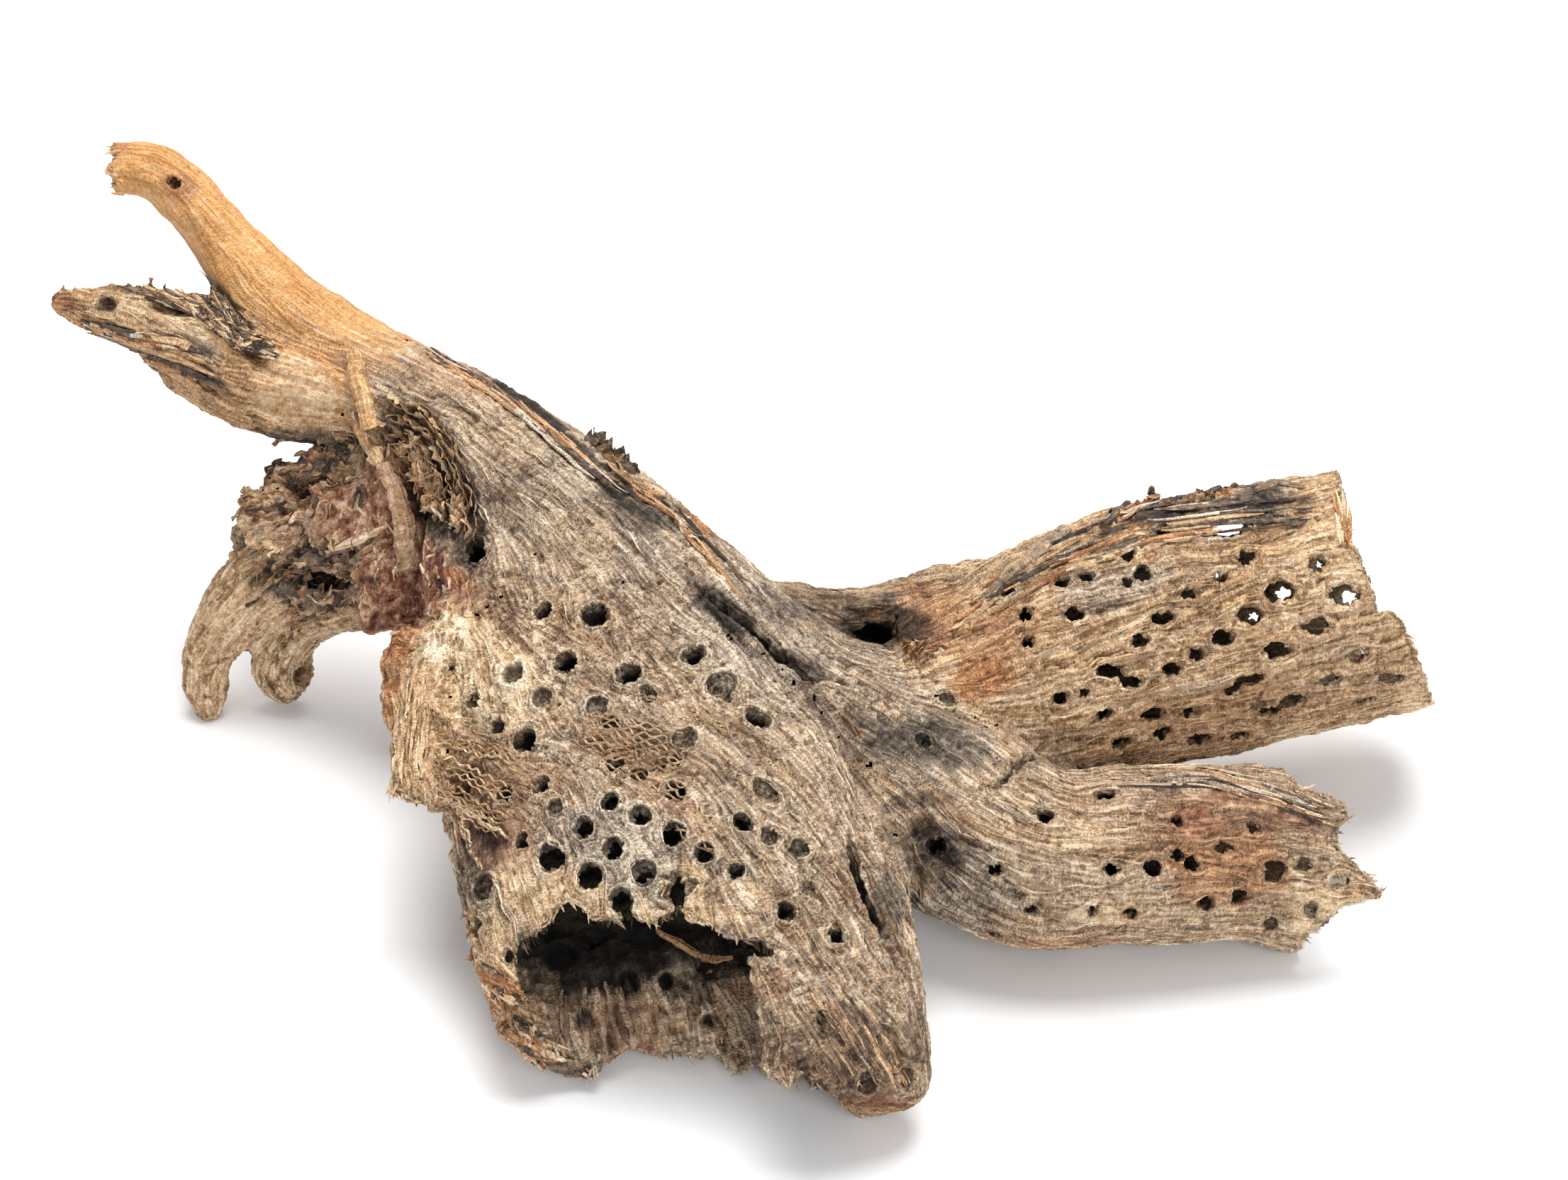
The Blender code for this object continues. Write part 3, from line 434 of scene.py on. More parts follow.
def add_spike(mesh, root, tip, thickness):
    """A splinter: a slim tapered stick of wood."""
    root = seen(*root)
    tip = seen(*tip)
    side = AWAY.cross(tip - root).normalized()
    depth = (tip - root).normalized().cross(side)
    half = thickness * MM / 2
    thin = half / 2
    skin(mesh, [oval(mesh, root, side, depth, half, half, SPIKE_SIDES),
                oval(mesh, tip, side, depth, thin, thin, SPIKE_SIDES)])


def add_prism(mesh, outline, near, far):
    """A slab with this outline in the picture. near and far give how far away each corner is."""
    rings = [[mesh.verts.new(seen(across, down, place(down))) for across, down in outline]
             for place in (near, far)]
    skin(mesh, rings)


def add_plug(mesh, centre, inward, along, long, wide, depth):
    """A tapered oval plug that cuts a hole from just outside the surface to its depth."""
    side = inward.cross(along).normalized()
    along = side.cross(inward)
    rings = []
    for reach, grow in ((-PLUG_STAND_OUT, 1.1), (0.0, 1.0), (depth, PLUG_TAPER)):
        middle = centre + inward * reach
        rings.append(oval(mesh, middle, along, side, long / 2 * grow, wide / 2 * grow, PLUG_SIDES))
    skin(mesh, rings)


def as_object(name, mesh):
    bmesh.ops.recalc_face_normals(mesh, faces=mesh.faces)
    data = bpy.data.meshes.new(name)
    mesh.to_mesh(data)
    mesh.free()
    made = bpy.data.objects.new(name, data)
    bpy.context.scene.collection.objects.link(made)
    return made


print("the trunk has", len(smooth_path(LIMBS["trunk"])), "rings")

# %% [markdown]
# ## Finding the wood from the front
# Most details are known by where they show. A line of sight through that place meets the wood at one point,
# so a ray cast turns a place in the picture into a place on the surface.

# %% Lines of sight


def on_wood(surface, across, down):
    """Where the line of sight through this place in the picture meets the wood."""
    sight = (seen(across, down, 0) - EYE).normalized()
    place, normal, _, _ = surface.ray_cast(EYE, sight)
    return place, normal, sight


def add_line(mesh, surface, line, wide, deep):
    """A tapered strip along a line on the surface, half sunk in it."""
    steps = []
    for (from_across, from_down), (to_across, to_down) in zip(line, line[1:]):
        count = max(2, round(math.hypot(to_across - from_across, to_down - from_down) / LINE_STEP))
        steps += [(from_across + (to_across - from_across) * i / count,
                   from_down + (to_down - from_down) * i / count) for i in range(count)]
    steps.append(line[-1])
    found = [on_wood(surface, across, down) for across, down in steps]
    found = [(place, normal) for place, normal, _ in found if place is not None]
    rings = []
    for i, (place, normal) in enumerate(found):
        tangent = (found[min(i + 1, len(found) - 1)][0] - found[max(i - 1, 0)][0]).normalized()
        side = normal.cross(tangent).normalized()
        grow = max(math.sin(math.pi * (i + 0.5) / len(found)) ** 0.5, LINE_END) * MM
        rings.append(oval(mesh, place, side, tangent.cross(side), wide * grow, deep * grow, PLUG_SIDES))
    skin(mesh, rings)


def shown_plugs(mesh, surface, holes, depth, collar):
    """Cuts each hole where the line of sight through it meets the wood. A filled eye is cut only a little."""
    for across, down, long, wide in holes:
        place, normal, sight = on_wood(surface, across, down)
        if place is None:
            continue
        filled = (across, down) in FILLED_EYES
        reach = FILLED_DEPTH if filled else depth
        inward = (sight - normal).normalized()
        add_plug(mesh, place, inward, RIGHT, long * HOLE_GROW * MM, wide * HOLE_GROW * MM, reach)
        if (across, down) in SEE_THROUGH:
            beyond = place + (RIGHT * long - UP * wide) * THROUGH_SHIFT * MM
            small = THROUGH_SHARE * MM
            add_plug(mesh, beyond, sight, RIGHT, long * small, wide * small, RIGHT_THROUGH)
        hole_marks.append((place, normal, long * MM / 2, wide * MM / 2, collar, float(filled)))


def far_plugs(mesh, surface, limb, count, long, wide, depth, draw):
    """Cuts holes on a spiral round a limb, where it faces away from the front view."""
    rows = smooth_path(LIMBS[limb])
    for i in range(count):
        centre, tangent, _, _ = rows[int((i + 0.5) / count * len(rows))]
        turn = i * GOLDEN_TURN + draw.uniform(-FAR_JITTER, FAR_JITTER)
        side = AWAY.cross(tangent).normalized()
        outward = side * math.cos(turn) + tangent.cross(side) * math.sin(turn)
        if outward.dot(AWAY) < TURNED_AWAY:
            continue
        place, normal, _, _ = surface.ray_cast(centre + outward * FAR_REACH, -outward)
        if place is None:
            continue
        size = draw.uniform(*FAR_SIZES) * MM
        add_plug(mesh, place, -(normal + outward).normalized(), tangent, long * size, wide * size, depth)
        hole_marks.append((place, normal, long * size / 2, wide * size / 2, FAR_COLLAR, 0.0))


print("the middle line of sight runs", np.round((seen(*PICTURE_MIDDLE, 0) - EYE).normalized(), 2))

# %% [markdown]
# ## Fusing limbs into one skin
# Overlapping limbs are fused by a voxel remesh, which reads them as one solid and lays an even net of small
# squares over it. A Boolean union would keep hard creases where limbs meet. A remesh followed by a few rounds
# of smoothing lets them flow into each other, as grown wood does.

# %% Fuse, smooth and settle
WOOD_VOXEL = 2.0 * MM
SKIN_VOXEL = 1.2 * MM
FINE_VOXEL = 1.15 * MM
BLEND_ROUNDS = 8
SETTLE_ROUNDS = 2


def add_remesh(piece, voxel):
    remesh = piece.modifiers.new("fuse", "REMESH")
    remesh.mode = "VOXEL"
    remesh.voxel_size = voxel
    remesh.adaptivity = 0


def add_smooth(piece, rounds):
    smooth = piece.modifiers.new("blend", "SMOOTH")
    smooth.iterations = rounds


def settle(piece):
    """Applies the piece's modifiers."""
    graph = bpy.context.evaluated_depsgraph_get()
    done = bpy.data.meshes.new_from_object(piece.evaluated_get(graph))
    piece.modifiers.clear()
    old = piece.data
    piece.data = done
    bpy.data.meshes.remove(old)


def surface_of(piece):
    mesh = bmesh.new()
    mesh.from_mesh(piece.data)
    tree = BVHTree.FromBMesh(mesh)
    mesh.free()
    return tree


def add_comb(mesh):
    """Small splinters that stand up along the broken top of the left prong."""
    draw = random.Random(COMB_SEED)
    spans = list(zip(COMB_LINE, COMB_LINE[1:]))
    for i in range(COMB_COUNT):
        start, end = spans[i * len(spans) // COMB_COUNT]
        part = i * len(spans) / COMB_COUNT % 1
        across, down, away = (a + (b - a) * part for a, b in zip(start, end))
        away += draw.uniform(*COMB_DEPTH)
        tip = (across + draw.uniform(*COMB_LEAN), down - draw.uniform(*COMB_LENGTH), away)
        add_spike(mesh, (across, down + COMB_ROOT, away), tip, COMB_THICKNESS)


print("limbs are fused with voxels of", round(WOOD_VOXEL / MM, 2), "mm")

# %% [markdown]
# ## Noise for a whole surface at once
# Weathering and grain need smooth random numbers at a few hundred thousand points. Blender's own noise is
# called point by point, which is slow here. The same idea, random slopes on a grid that are blended between,
# fits in a few lines of numpy and takes all the points together.

# %% Smooth noise
NOISE_SEED = 2031
noise_draw = np.random.default_rng(NOISE_SEED)
SHUFFLE = np.tile(noise_draw.permutation(256), 3)
SLOPES = noise_draw.normal(size=(256, 3))
SLOPES /= np.linalg.norm(SLOPES, axis=1)[:, None]


def smooth_noise(points):
    """Random swells between about -1 and 1 that are one unit across."""
    cell = np.floor(points).astype(np.int64)
    part = points - cell
    fade = part ** 3 * (part * (part * 6 - 15) + 10)
    cell &= 255
    total = np.zeros(len(points))
    for corner in ((0, 0, 0), (0, 0, 1), (0, 1, 0), (0, 1, 1), (1, 0, 0), (1, 0, 1), (1, 1, 0), (1, 1, 1)):
        spot = SHUFFLE[cell[:, 0] + corner[0]]
        spot = SHUFFLE[spot + cell[:, 1] + corner[1]]
        spot = SHUFFLE[spot + cell[:, 2] + corner[2]]
        slope = SLOPES[spot]
        weight = np.ones(len(points))
        for k in range(3):
            weight *= fade[:, k] if corner[k] else 1 - fade[:, k]
        total += weight * np.einsum("ij,ij->i", slope, part - np.array(corner))
    return total * 1.6


def smooth_step(low, high, value):
    part = np.clip((value - low) / (high - low), 0, 1)
    return part * part * (3 - 2 * part)


def read_points(data):
    points = np.empty(len(data.vertices) * 3)
    data.vertices.foreach_get("co", points)
    return points.reshape(-1, 3)


def read_normals(data):
    normals = np.empty(len(data.vertices) * 3)
    data.vertex_normals.foreach_get("vector", normals)
    return normals.reshape(-1, 3)


def write_points(data, points):
    data.vertices.foreach_set("co", points.astype(np.float32).ravel())
    data.update()


trial = smooth_noise(np.arange(3000).reshape(-1, 3) * 0.37)
print("noise runs from", round(float(trial.min()), 2), "to", round(float(trial.max()), 2))

# %% [markdown]
# ## The wood before anything is cut
# First comes the blended body with its plates, strips and splinters, swollen and furrowed by weather. A copy
# of its surface is kept: later it tells how deep a point lies in a hole, and carries the loose fibres.

# %% The whole body


def make_wood():
    mesh = bmesh.new()
    for stations in LIMBS.values():
        add_limb(mesh, stations)
    wood = as_object("skin", mesh)
    add_remesh(wood, WOOD_VOXEL)
    add_smooth(wood, BLEND_ROUNDS)
    settle(wood)
    surface = surface_of(wood)
    mesh = bmesh.new()
    mesh.from_mesh(wood.data)
    for root, tip, thickness in SPLINTERS:
        add_spike(mesh, root, tip, thickness)
    add_comb(mesh)
    for (near, far), outline in PLATES:
        add_prism(mesh, outline, lambda down: near, lambda down: far)
    for wide, deep, line in STRIPS:
        add_line(mesh, surface, line, wide, deep)
    bpy.data.objects.remove(wood)
    wood = as_object("skin", mesh)
    add_remesh(wood, SKIN_VOXEL)
    add_smooth(wood, SETTLE_ROUNDS)
    settle(wood)
    return wood


wood = make_wood()
points = read_points(wood.data)
rise = sum(height * smooth_noise(points / (spacing * MM)) for height, spacing in SWELLS)
write_points(wood.data, points + read_normals(wood.data) * (rise * MM)[:, None])
whole = surface_of(wood)
print("whole body", len(wood.data.vertices), "vertices", round(time.time() - STARTED, 1), "s")

# %% [markdown]
# ## Cutting it hollow
# Everything that is gone is fused into one shape as well, and one Boolean takes it out of the wood. Cutting
# three hundred holes one at a time would take minutes, and neighbours that touch would leave slivers.

# %% Carve
TORN_REACH = {
    "high_end": 3.0, "low_end": 7.0, "front_end": 7.0, "ear_end": 6.0, "antler_end": 5.0, "rim": 5.0,
}
TORN_STEP = 9
TORN_LONGEST = 90
FILLED_DEPTH = 3.4 * MM
FAR_COLLAR = 0.6
# Holes that are listed one by one, how deep they are cut, and how high the collar round them stands
HOLE_SETS = (
    (HIGH_LIMB_HOLES, THROUGH_DEPTH, 0.45), (LOW_LIMB_HOLES, THROUGH_DEPTH, 0.4),
    (FRONT_LIMB_EYES, PIT_DEPTH, 1.0), (FINE_HOLES, PIT_DEPTH, 0.4), (STUB_HOLES, SHALLOW_DEPTH, 0.6),
    (POCKETS, POCKET_DEPTH, 0.3),
)
hole_marks = []


def rim_depth(down):
    """How far away the middle of the front hollow is at this height in the picture."""
    part = (down - RIM_TOP[0]) / (RIM_FOOT[0] - RIM_TOP[0])
    return RIM_TOP[1] + part * (RIM_FOOT[1] - RIM_TOP[1])


def ragged(outline, reach, draw):
    """The outline again, torn in small steps. Long sides lie outside the wood and stay straight."""
    torn = []
    for (from_across, from_down), (to_across, to_down) in zip(outline, outline[1:] + outline[:1]):
        length = math.hypot(to_across - from_across, to_down - from_down)
        count = max(1, round(length / TORN_STEP)) if length < TORN_LONGEST else 1
        for i in range(count):
            part = i / count
            torn.append((from_across + (to_across - from_across) * part + draw.uniform(-reach, reach),
                         from_down + (to_down - from_down) * part + draw.uniform(-reach, reach)))
    return torn


def add_rim(mesh, outline):
    """Opens the front of the hollow. On its right the cut slants out toward the viewer."""
    near = []
    far = []
    for across, down in outline:
        inner = across - RIM_SLANT * max(0, across - RIM_SLANT_FROM)
        depth = rim_depth(down)
        outer_share = (RIM_NEAR - depth) / (RIM_SKIN - depth)
        near.append(mesh.verts.new(seen(inner + (across - inner) * outer_share, down, RIM_NEAR)))
        far.append(mesh.verts.new(seen(inner, down, depth)))
    skin(mesh, [near, far])


def make_hollow(surface):
    draw = random.Random(SPIRAL_SEED)
    mesh = bmesh.new()
    for stations in HOLLOWS.values():
        add_limb(mesh, stations)
    for name, ((near, far), outline) in BROKEN.items():
        add_prism(mesh, ragged(outline, TORN_REACH[name], draw), lambda down: near, lambda down: far)
    add_rim(mesh, ragged(RIM, TORN_REACH["rim"], draw))
    for holes, depth, collar in HOLE_SETS:
        shown_plugs(mesh, surface, holes, depth, collar)
    for wide, deep, line in CRACKS:
        add_line(mesh, surface, line, wide, deep)
    for limb, count, long, wide, depth in FAR_SPIRALS:
        far_plugs(mesh, surface, limb, count, long, wide, depth, draw)
    hollow = as_object("hollow", mesh)
    add_remesh(hollow, SKIN_VOXEL)
    settle(hollow)
    return hollow


hollow = make_hollow(whole)
cut = wood.modifiers.new("carve", "BOOLEAN")
cut.operation = "DIFFERENCE"
cut.solver = "MANIFOLD"
cut.object = hollow
add_remesh(wood, FINE_VOXEL)
add_smooth(wood, 1)
settle(wood)
bpy.data.objects.remove(hollow)
print("carved", len(wood.data.polygons), "faces", round(time.time() - STARTED, 1), "s")

# %% [markdown]
# ## One connected piece
# The cut leaves a few crumbs that hang in the air. Only the largest connected part of the mesh stays. The low
# points are worn flat where the table is, and the move from here onto the solid's box is worked out now and
# made at the very end, so that everything until then can be placed by the front view.

# %% Drop scraps and find the move onto the solid
TABLE = 1.5 * MM


def island(start):
    """All the faces that join up with this one."""
    found = {start}
    edge_of = [start]
    while edge_of:
        for edge in edge_of.pop().edges:
            for other in edge.link_faces:
                if other not in found:
                    found.add(other)
                    edge_of.append(other)
    return found


def drop_scraps(piece):
    mesh = bmesh.new()
    mesh.from_mesh(piece.data)
    left = set(mesh.faces)
    main = set()
    while len(left) > len(main):
        found = island(next(iter(left)))
        left -= found
        main = max(main, found, key=len)
    bmesh.ops.delete(mesh, geom=[face for face in mesh.faces if face not in main], context="FACES")
    mesh.to_mesh(piece.data)
    mesh.free()


drop_scraps(wood)
points = read_points(wood.data)
points[:, 2] = np.maximum(points[:, 2], TABLE)
write_points(wood.data, points)
solid_low, solid_high = (np.array(corner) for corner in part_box(NODE))
onto_solid = (solid_low + solid_high - points.min(0) - points.max(0)) / 2
onto_solid[2] = solid_low[2] - TABLE
print("size", np.round((points.max(0) - points.min(0)) / MM, 1), "move", np.round(onto_solid / MM, 1))

# %% [markdown]
# ## Which way the fibres run
# Every fibre of the wood runs along its limb, and where two limbs meet the fibres turn from one to the other.
# Each point takes a mix of the directions of the stations near it. The same mix gives each limb's share of
# the point, which the finishes use later. A hole parts the fibres as a stone parts a stream, and the textbook
# flow round a cylinder gives exactly that shape.

# %% Directions from the limbs
FLOW_REACH = 8 * MM
FLOW_BLEND = 3.0
CHUNK = 20000
limb_names = list(LIMBS)
station_rows = [(centre, way, wide, deep, number) for number, name in enumerate(limb_names)
                for centre, way, wide, deep in smooth_path(LIMBS[name])[::2]]
centres = np.array([row[0] for row in station_rows])
ways = np.array([row[1] for row in station_rows])
sides = np.cross(np.array(AWAY), ways)
sides /= np.linalg.norm(sides, axis=1)[:, None]
depths = np.cross(ways, sides)
wides = np.array([row[2] for row in station_rows])
deeps = np.array([row[3] for row in station_rows])
limb_of_row = np.array([row[4] for row in station_rows])
shares_of_row = np.eye(len(limb_names))[limb_of_row]


def from_rows(points, axes, sizes):
    """How far each point lies from each station along its axis, in sizes."""
    return (points @ axes.T - (centres * axes).sum(1)) / sizes


def limb_flow(points):
    """The way the limbs run at each point, and each limb's share of it."""
    flow = np.empty((len(points), 3))
    shares = np.empty((len(points), len(limb_names)))
    for start in range(0, len(points), CHUNK):
        some = points[start:start + CHUNK]
        far = (from_rows(some, sides, wides) ** 2 + from_rows(some, depths, deeps) ** 2
               + from_rows(some, ways, FLOW_REACH) ** 2)
        weight = np.exp(-FLOW_BLEND * (far - far.min(1)[:, None]))
        weight /= weight.sum(1)[:, None]
        flow[start:start + CHUNK] = weight @ ways
        shares[start:start + CHUNK] = weight @ shares_of_row
    return flow, shares


def along_surface(flow, normals):
    """The part of each direction that lies in the surface."""
    flat = flow - normals * (flow * normals).sum(1)[:, None]
    return flat / np.maximum(np.linalg.norm(flat, axis=1), 1e-9)[:, None]


points = read_points(wood.data)
normals = read_normals(wood.data)
flow, shares = limb_flow(points)
print("flow", round(time.time() - STARTED, 1), "s")

# %% [markdown]
# ## Holes part the fibres
# Every point within a few radii of a hole is listed with that hole, and how far along and across the fibres
# it lies from it, in radii. The fibres are turned by the stream formula, and the same distances later raise a
# collar round each eye.

# %% Patches in the picture
# Where the fibres run their own way: a patch, and the way they run in degrees below the horizontal
COMBED = (
    ((700, 1080, 110, 80, 0, 1.0), 24), ((900, 1060, 110, 55, 15, 1.0), 22),
    ((790, 930, 130, 60, 30, 0.8), 40), ((1060, 1040, 120, 130, 40, 0.9), 48),
    ((1130, 1260, 120, 200, -30, 0.9), 56), ((1240, 1480, 80, 120, -20, 0.9), 50),
    ((690, 1170, 50, 40, 0, 0.9), 60), ((960, 900, 110, 60, 40, 0.6), 40),
    ((1290, 1230, 60, 70, 0, 0.7), 65),
)


def patch(across, down, place, fray=0.0):
    """How strong a soft oval patch is at each point."""
    middle_across, middle_down, half_across, half_down, turn, strength = place
    turn = math.radians(turn)
    right = across - middle_across
    low = down - middle_down
    u = (right * math.cos(turn) + low * math.sin(turn)) / half_across
    v = (low * math.cos(turn) - right * math.sin(turn)) / half_down
    return strength * smooth_step(1.35, 0.55, np.hypot(u, v) + fray)


def combed(flow, points):
    """Turns the fibres their own way in the combed patches."""
    across, down = picture_of(points)
    for place, slope in COMBED:
        share = patch(across, down, place)[:, None]
        slope = math.radians(slope)
        flow = flow * (1 - share) + np.array(RIGHT * math.cos(slope) - UP * math.sin(slope)) * share
    return flow


print(len(COMBED), "patches have fibres that run their own way")

# %% Points near holes
HOLE_REACH = 3.2
WAVE_TURN = 0.26
WAVE_LENGTH = 14 * MM
RIPPLE_TURN = 0.24
RIPPLE_LENGTH = 4.5 * MM
mark_places = np.array([mark[0] for mark in hole_marks])
mark_normals = np.array([mark[1] for mark in hole_marks])
mark_longs = np.array([mark[2] for mark in hole_marks])
mark_wides = np.array([mark[3] for mark in hole_marks])
mark_collars = np.array([mark[4] for mark in hole_marks])
mark_whorls = np.array([mark[5] for mark in hole_marks])
mark_flow = along_surface(combed(limb_flow(mark_places)[0], mark_places), mark_normals)
mark_side = np.cross(mark_normals, mark_flow)


def near_holes(points):
    """Pairs of a point and a hole: their numbers, and the point's place along and across it in radii."""
    point_numbers = []
    mark_numbers = []
    reach = (np.maximum(mark_longs, mark_wides) * HOLE_REACH) ** 2
    for start in range(0, len(points), CHUNK):
        some = points[start:start + CHUNK]
        far = ((some ** 2).sum(1)[:, None] - 2 * some @ mark_places.T + (mark_places ** 2).sum(1))
        found, marks = np.nonzero(far < reach)
        point_numbers.append(found + start)
        mark_numbers.append(marks)
    point_numbers = np.concatenate(point_numbers)
    mark_numbers = np.concatenate(mark_numbers)
    off = points[point_numbers] - mark_places[mark_numbers]
    along = (off * mark_flow[mark_numbers]).sum(1) / mark_longs[mark_numbers]
    across = (off * mark_side[mark_numbers]).sum(1) / mark_wides[mark_numbers]
    return point_numbers, mark_numbers, along, across


def part_round_holes(flow, pairs):
    """Turns the fibres round each hole like a stream round a stone."""
    point_numbers, mark_numbers, along, across = pairs
    radius = np.maximum(np.hypot(along, across), 1.0)
    fade = smooth_step(HOLE_REACH, 1.5, radius) / radius ** 4
    back = (along ** 2 - across ** 2) * fade
    out = 2 * along * across * fade * (mark_wides / mark_longs)[mark_numbers]
    turned = flow.copy()
    np.add.at(turned, point_numbers, -mark_flow[mark_numbers] * back[:, None]
              - mark_side[mark_numbers] * out[:, None])
    return turned


def wave(flow, normals, points):
    """Turns the fibres to and fro a little, as grown wood does."""
    turn = WAVE_TURN * smooth_noise(points / WAVE_LENGTH)
    turn += RIPPLE_TURN * smooth_noise(points / RIPPLE_LENGTH)
    side = np.cross(normals, flow)
    return flow * np.cos(turn)[:, None] + side * np.sin(turn)[:, None]


pairs = near_holes(points)
flow = along_surface(combed(flow, points), normals)
flow = along_surface(part_round_holes(flow, pairs), normals)
flow = along_surface(wave(flow, normals, points), normals)
print(len(pairs[0]), "points near", len(hole_marks), "holes", round(time.time() - STARTED, 1), "s")

# %% [markdown]
# ## How deep a point lies under the old surface
# The carved wood is compared with the body before carving. On the outside the distance is nothing, in a hole
# it grows. It keeps the grain off the hole walls, and the finish paints shade by it: the deeper a point lies,
# the darker its colour.

# %% Depth under the old surface
sunk = np.array([whole.find_nearest(Vector(point))[3] for point in points])
OUTSIDE = (0.5 * MM, 1.6 * MM)
outer = smooth_step(OUTSIDE[1], OUTSIDE[0], sunk)
print(round(float(outer.mean()), 2), "of the points lie outside", round(time.time() - STARTED, 1), "s")

# %% [markdown]
# ## Grain that can be felt
# Weathering eats the soft wood between the fibres. Noise that is averaged along a fibre turns into streaks
# that follow it round every bend and hole. Broad furrows, narrow furrows and fine fibres are three sizes of
# the same streaks. Painting them as colour alone would leave a smooth tube with stripes on it.

# %% Relief
# Streaks: height, width, length. Clefts: depth, spacing, length, width as a share of the spacing
STREAKS = ((1.1, 8.0, 40.0), (0.9, 3.4, 20.0), (0.6, 2.0, 11.0))
CLEFTS = ((1.3, 9.0, 60.0, 0.10), (0.9, 4.5, 26.0, 0.13))
STREAK_STEPS = 7
INNER_STREAKS = ((3.2, 7.0, 50.0), (1.8, 3.0, 20.0))
COLLAR_HEIGHT = 1.3 * MM
COLLAR_PLACE = 1.3
COLLAR_WIDTH = 0.22
WHORL_HEIGHT = 0.45 * MM
WHORL_RINGS = 2.0
NO_EYE = 9.0
EYE_COLLAR = 0.9
ROUGHNESS_OF_LIMB = {"antler": 0.25, "trunk": 0.8, "left_prong": 0.8, "high_limb": 0.9, "low_limb": 0.7}
LUMPS = ((3.2, 11.0), (2.0, 5.0), (1.2, 2.6))
LUMPY_LIMBS = {
    "root_roll": 1.0, "root_crest": 1.2, "root_mat": 1.2, "purple_stump": 0.35, "brown_flake": 0.3,
}
LUMPY_PATCHES = ((632, 905, 36, 44, 0, 0.8), (705, 980, 60, 50, 20, 0.5), (690, 1440, 50, 60, 0, 0.5))
# Dents: a patch in the picture, and a depth in millimetres
DENTS = (
    ((614, 686, 118, 46, 62, 1.0), 8.0), ((322, 448, 84, 17, 54, 1.0), 5.0),
    ((240, 436, 34, 9, 8, 1.0), 3.5), ((150, 430, 13, 10, 0, 1.0), 3.5), ((258, 502, 46, 26, 26, 1.0), 1.6),
    ((300, 934, 26, 3, -12, 1.0), 1.6), ((298, 984, 22, 3, 6, 1.0), 1.4),
    ((395, 905, 30, 4, -70, 1.0), 1.8), ((210, 482, 60, 5, 22, 1.0), 2.5),
    ((270, 532, 50, 5, 34, 1.0), 2.5), ((886, 1391, 16, 18, 0, 1.0), 6.0),
    ((940, 1385, 10, 12, 0, 1.0), 5.0), ((823, 1436, 10, 14, 0, 1.0), 5.0),
    ((789, 1351, 22, 18, 0, 1.0), 6.0), ((1000, 1440, 10, 9, 0, 1.0), 4.0),
    ((860, 1400, 8, 60, -6, 1.0), 3.0), ((925, 1430, 7, 50, 8, 1.0), 3.0),
    ((985, 1400, 8, 60, 12, 1.0), 3.0), ((1300, 1170, 20, 16, -20, 1.0), 4.0),
    ((1330, 1210, 9, 26, -40, 1.0), 2.5), ((1292, 1250, 10, 26, 0, 1.0), 3.0),
    ((1370, 1190, 30, 7, 20, 1.0), 2.0), ((1250, 880, 60, 26, 0, 1.0), 4.0),
    ((1630, 985, 70, 6, -8, 1.0), 1.6), ((1700, 1000, 90, 6, -5, 1.0), 1.6),
    ((1600, 1020, 60, 6, -12, 1.0), 1.6), ((1560, 860, 40, 5, -15, 1.0), 1.5),
    ((700, 610, 90, 5, 34, 1.0), 1.6), ((800, 640, 110, 6, 42, 1.0), 2.5),
    ((860, 740, 70, 5, 45, 1.0), 2.0), ((1040, 900, 70, 5, 45, 1.0), 2.0),
    ((700, 1085, 85, 62, 10, 1.0), 1.5), ((900, 1062, 84, 40, 15, 1.0), 1.4),
    ((690, 1172, 38, 24, 20, 1.0), 2.0), ((1120, 1300, 6, 90, -38, 1.0), 1.8),
    ((1080, 1230, 5, 60, -36, 1.0), 1.4),
)


def streaks(points, flow, size, length):
    """Noise of this size, drawn out to this length along the fibres."""
    total = np.zeros(len(points))
    for i in range(STREAK_STEPS):
        reach = (i / (STREAK_STEPS - 1) - 0.5) * length * MM
        total += smooth_noise((points + flow * reach) / (size * MM))
    return total / math.sqrt(STREAK_STEPS)


def ring_relief(count, pairs):
    """A raised lip round each hole, and rings of old wood inside a filled eye."""
    point_numbers, mark_numbers, along, across = pairs
    radius = np.hypot(along, across)
    lip = np.exp(-((radius - COLLAR_PLACE) / COLLAR_WIDTH) ** 2) * mark_collars[mark_numbers]
    rise = np.zeros(count)
    np.maximum.at(rise, point_numbers, lip)
    rings = np.zeros(count)
    wobble = radius + 0.12 * np.sin(np.arctan2(across, along) * 3 + mark_numbers)
    inside = smooth_step(1.05, 0.85, radius) * mark_whorls[mark_numbers]
    np.add.at(rings, point_numbers, inside * np.cos(wobble * WHORL_RINGS * 2 * math.pi))
    return rise, rings


def eye_distance(count, pairs):
    """How many radii each point lies from the nearest eye of the front limb."""
    point_numbers, mark_numbers, along, across = pairs
    distance = np.full(count, NO_EYE)
    is_eye = mark_collars[mark_numbers] > EYE_COLLAR
    np.minimum.at(distance, point_numbers[is_eye], np.hypot(along, across)[is_eye])
    return distance


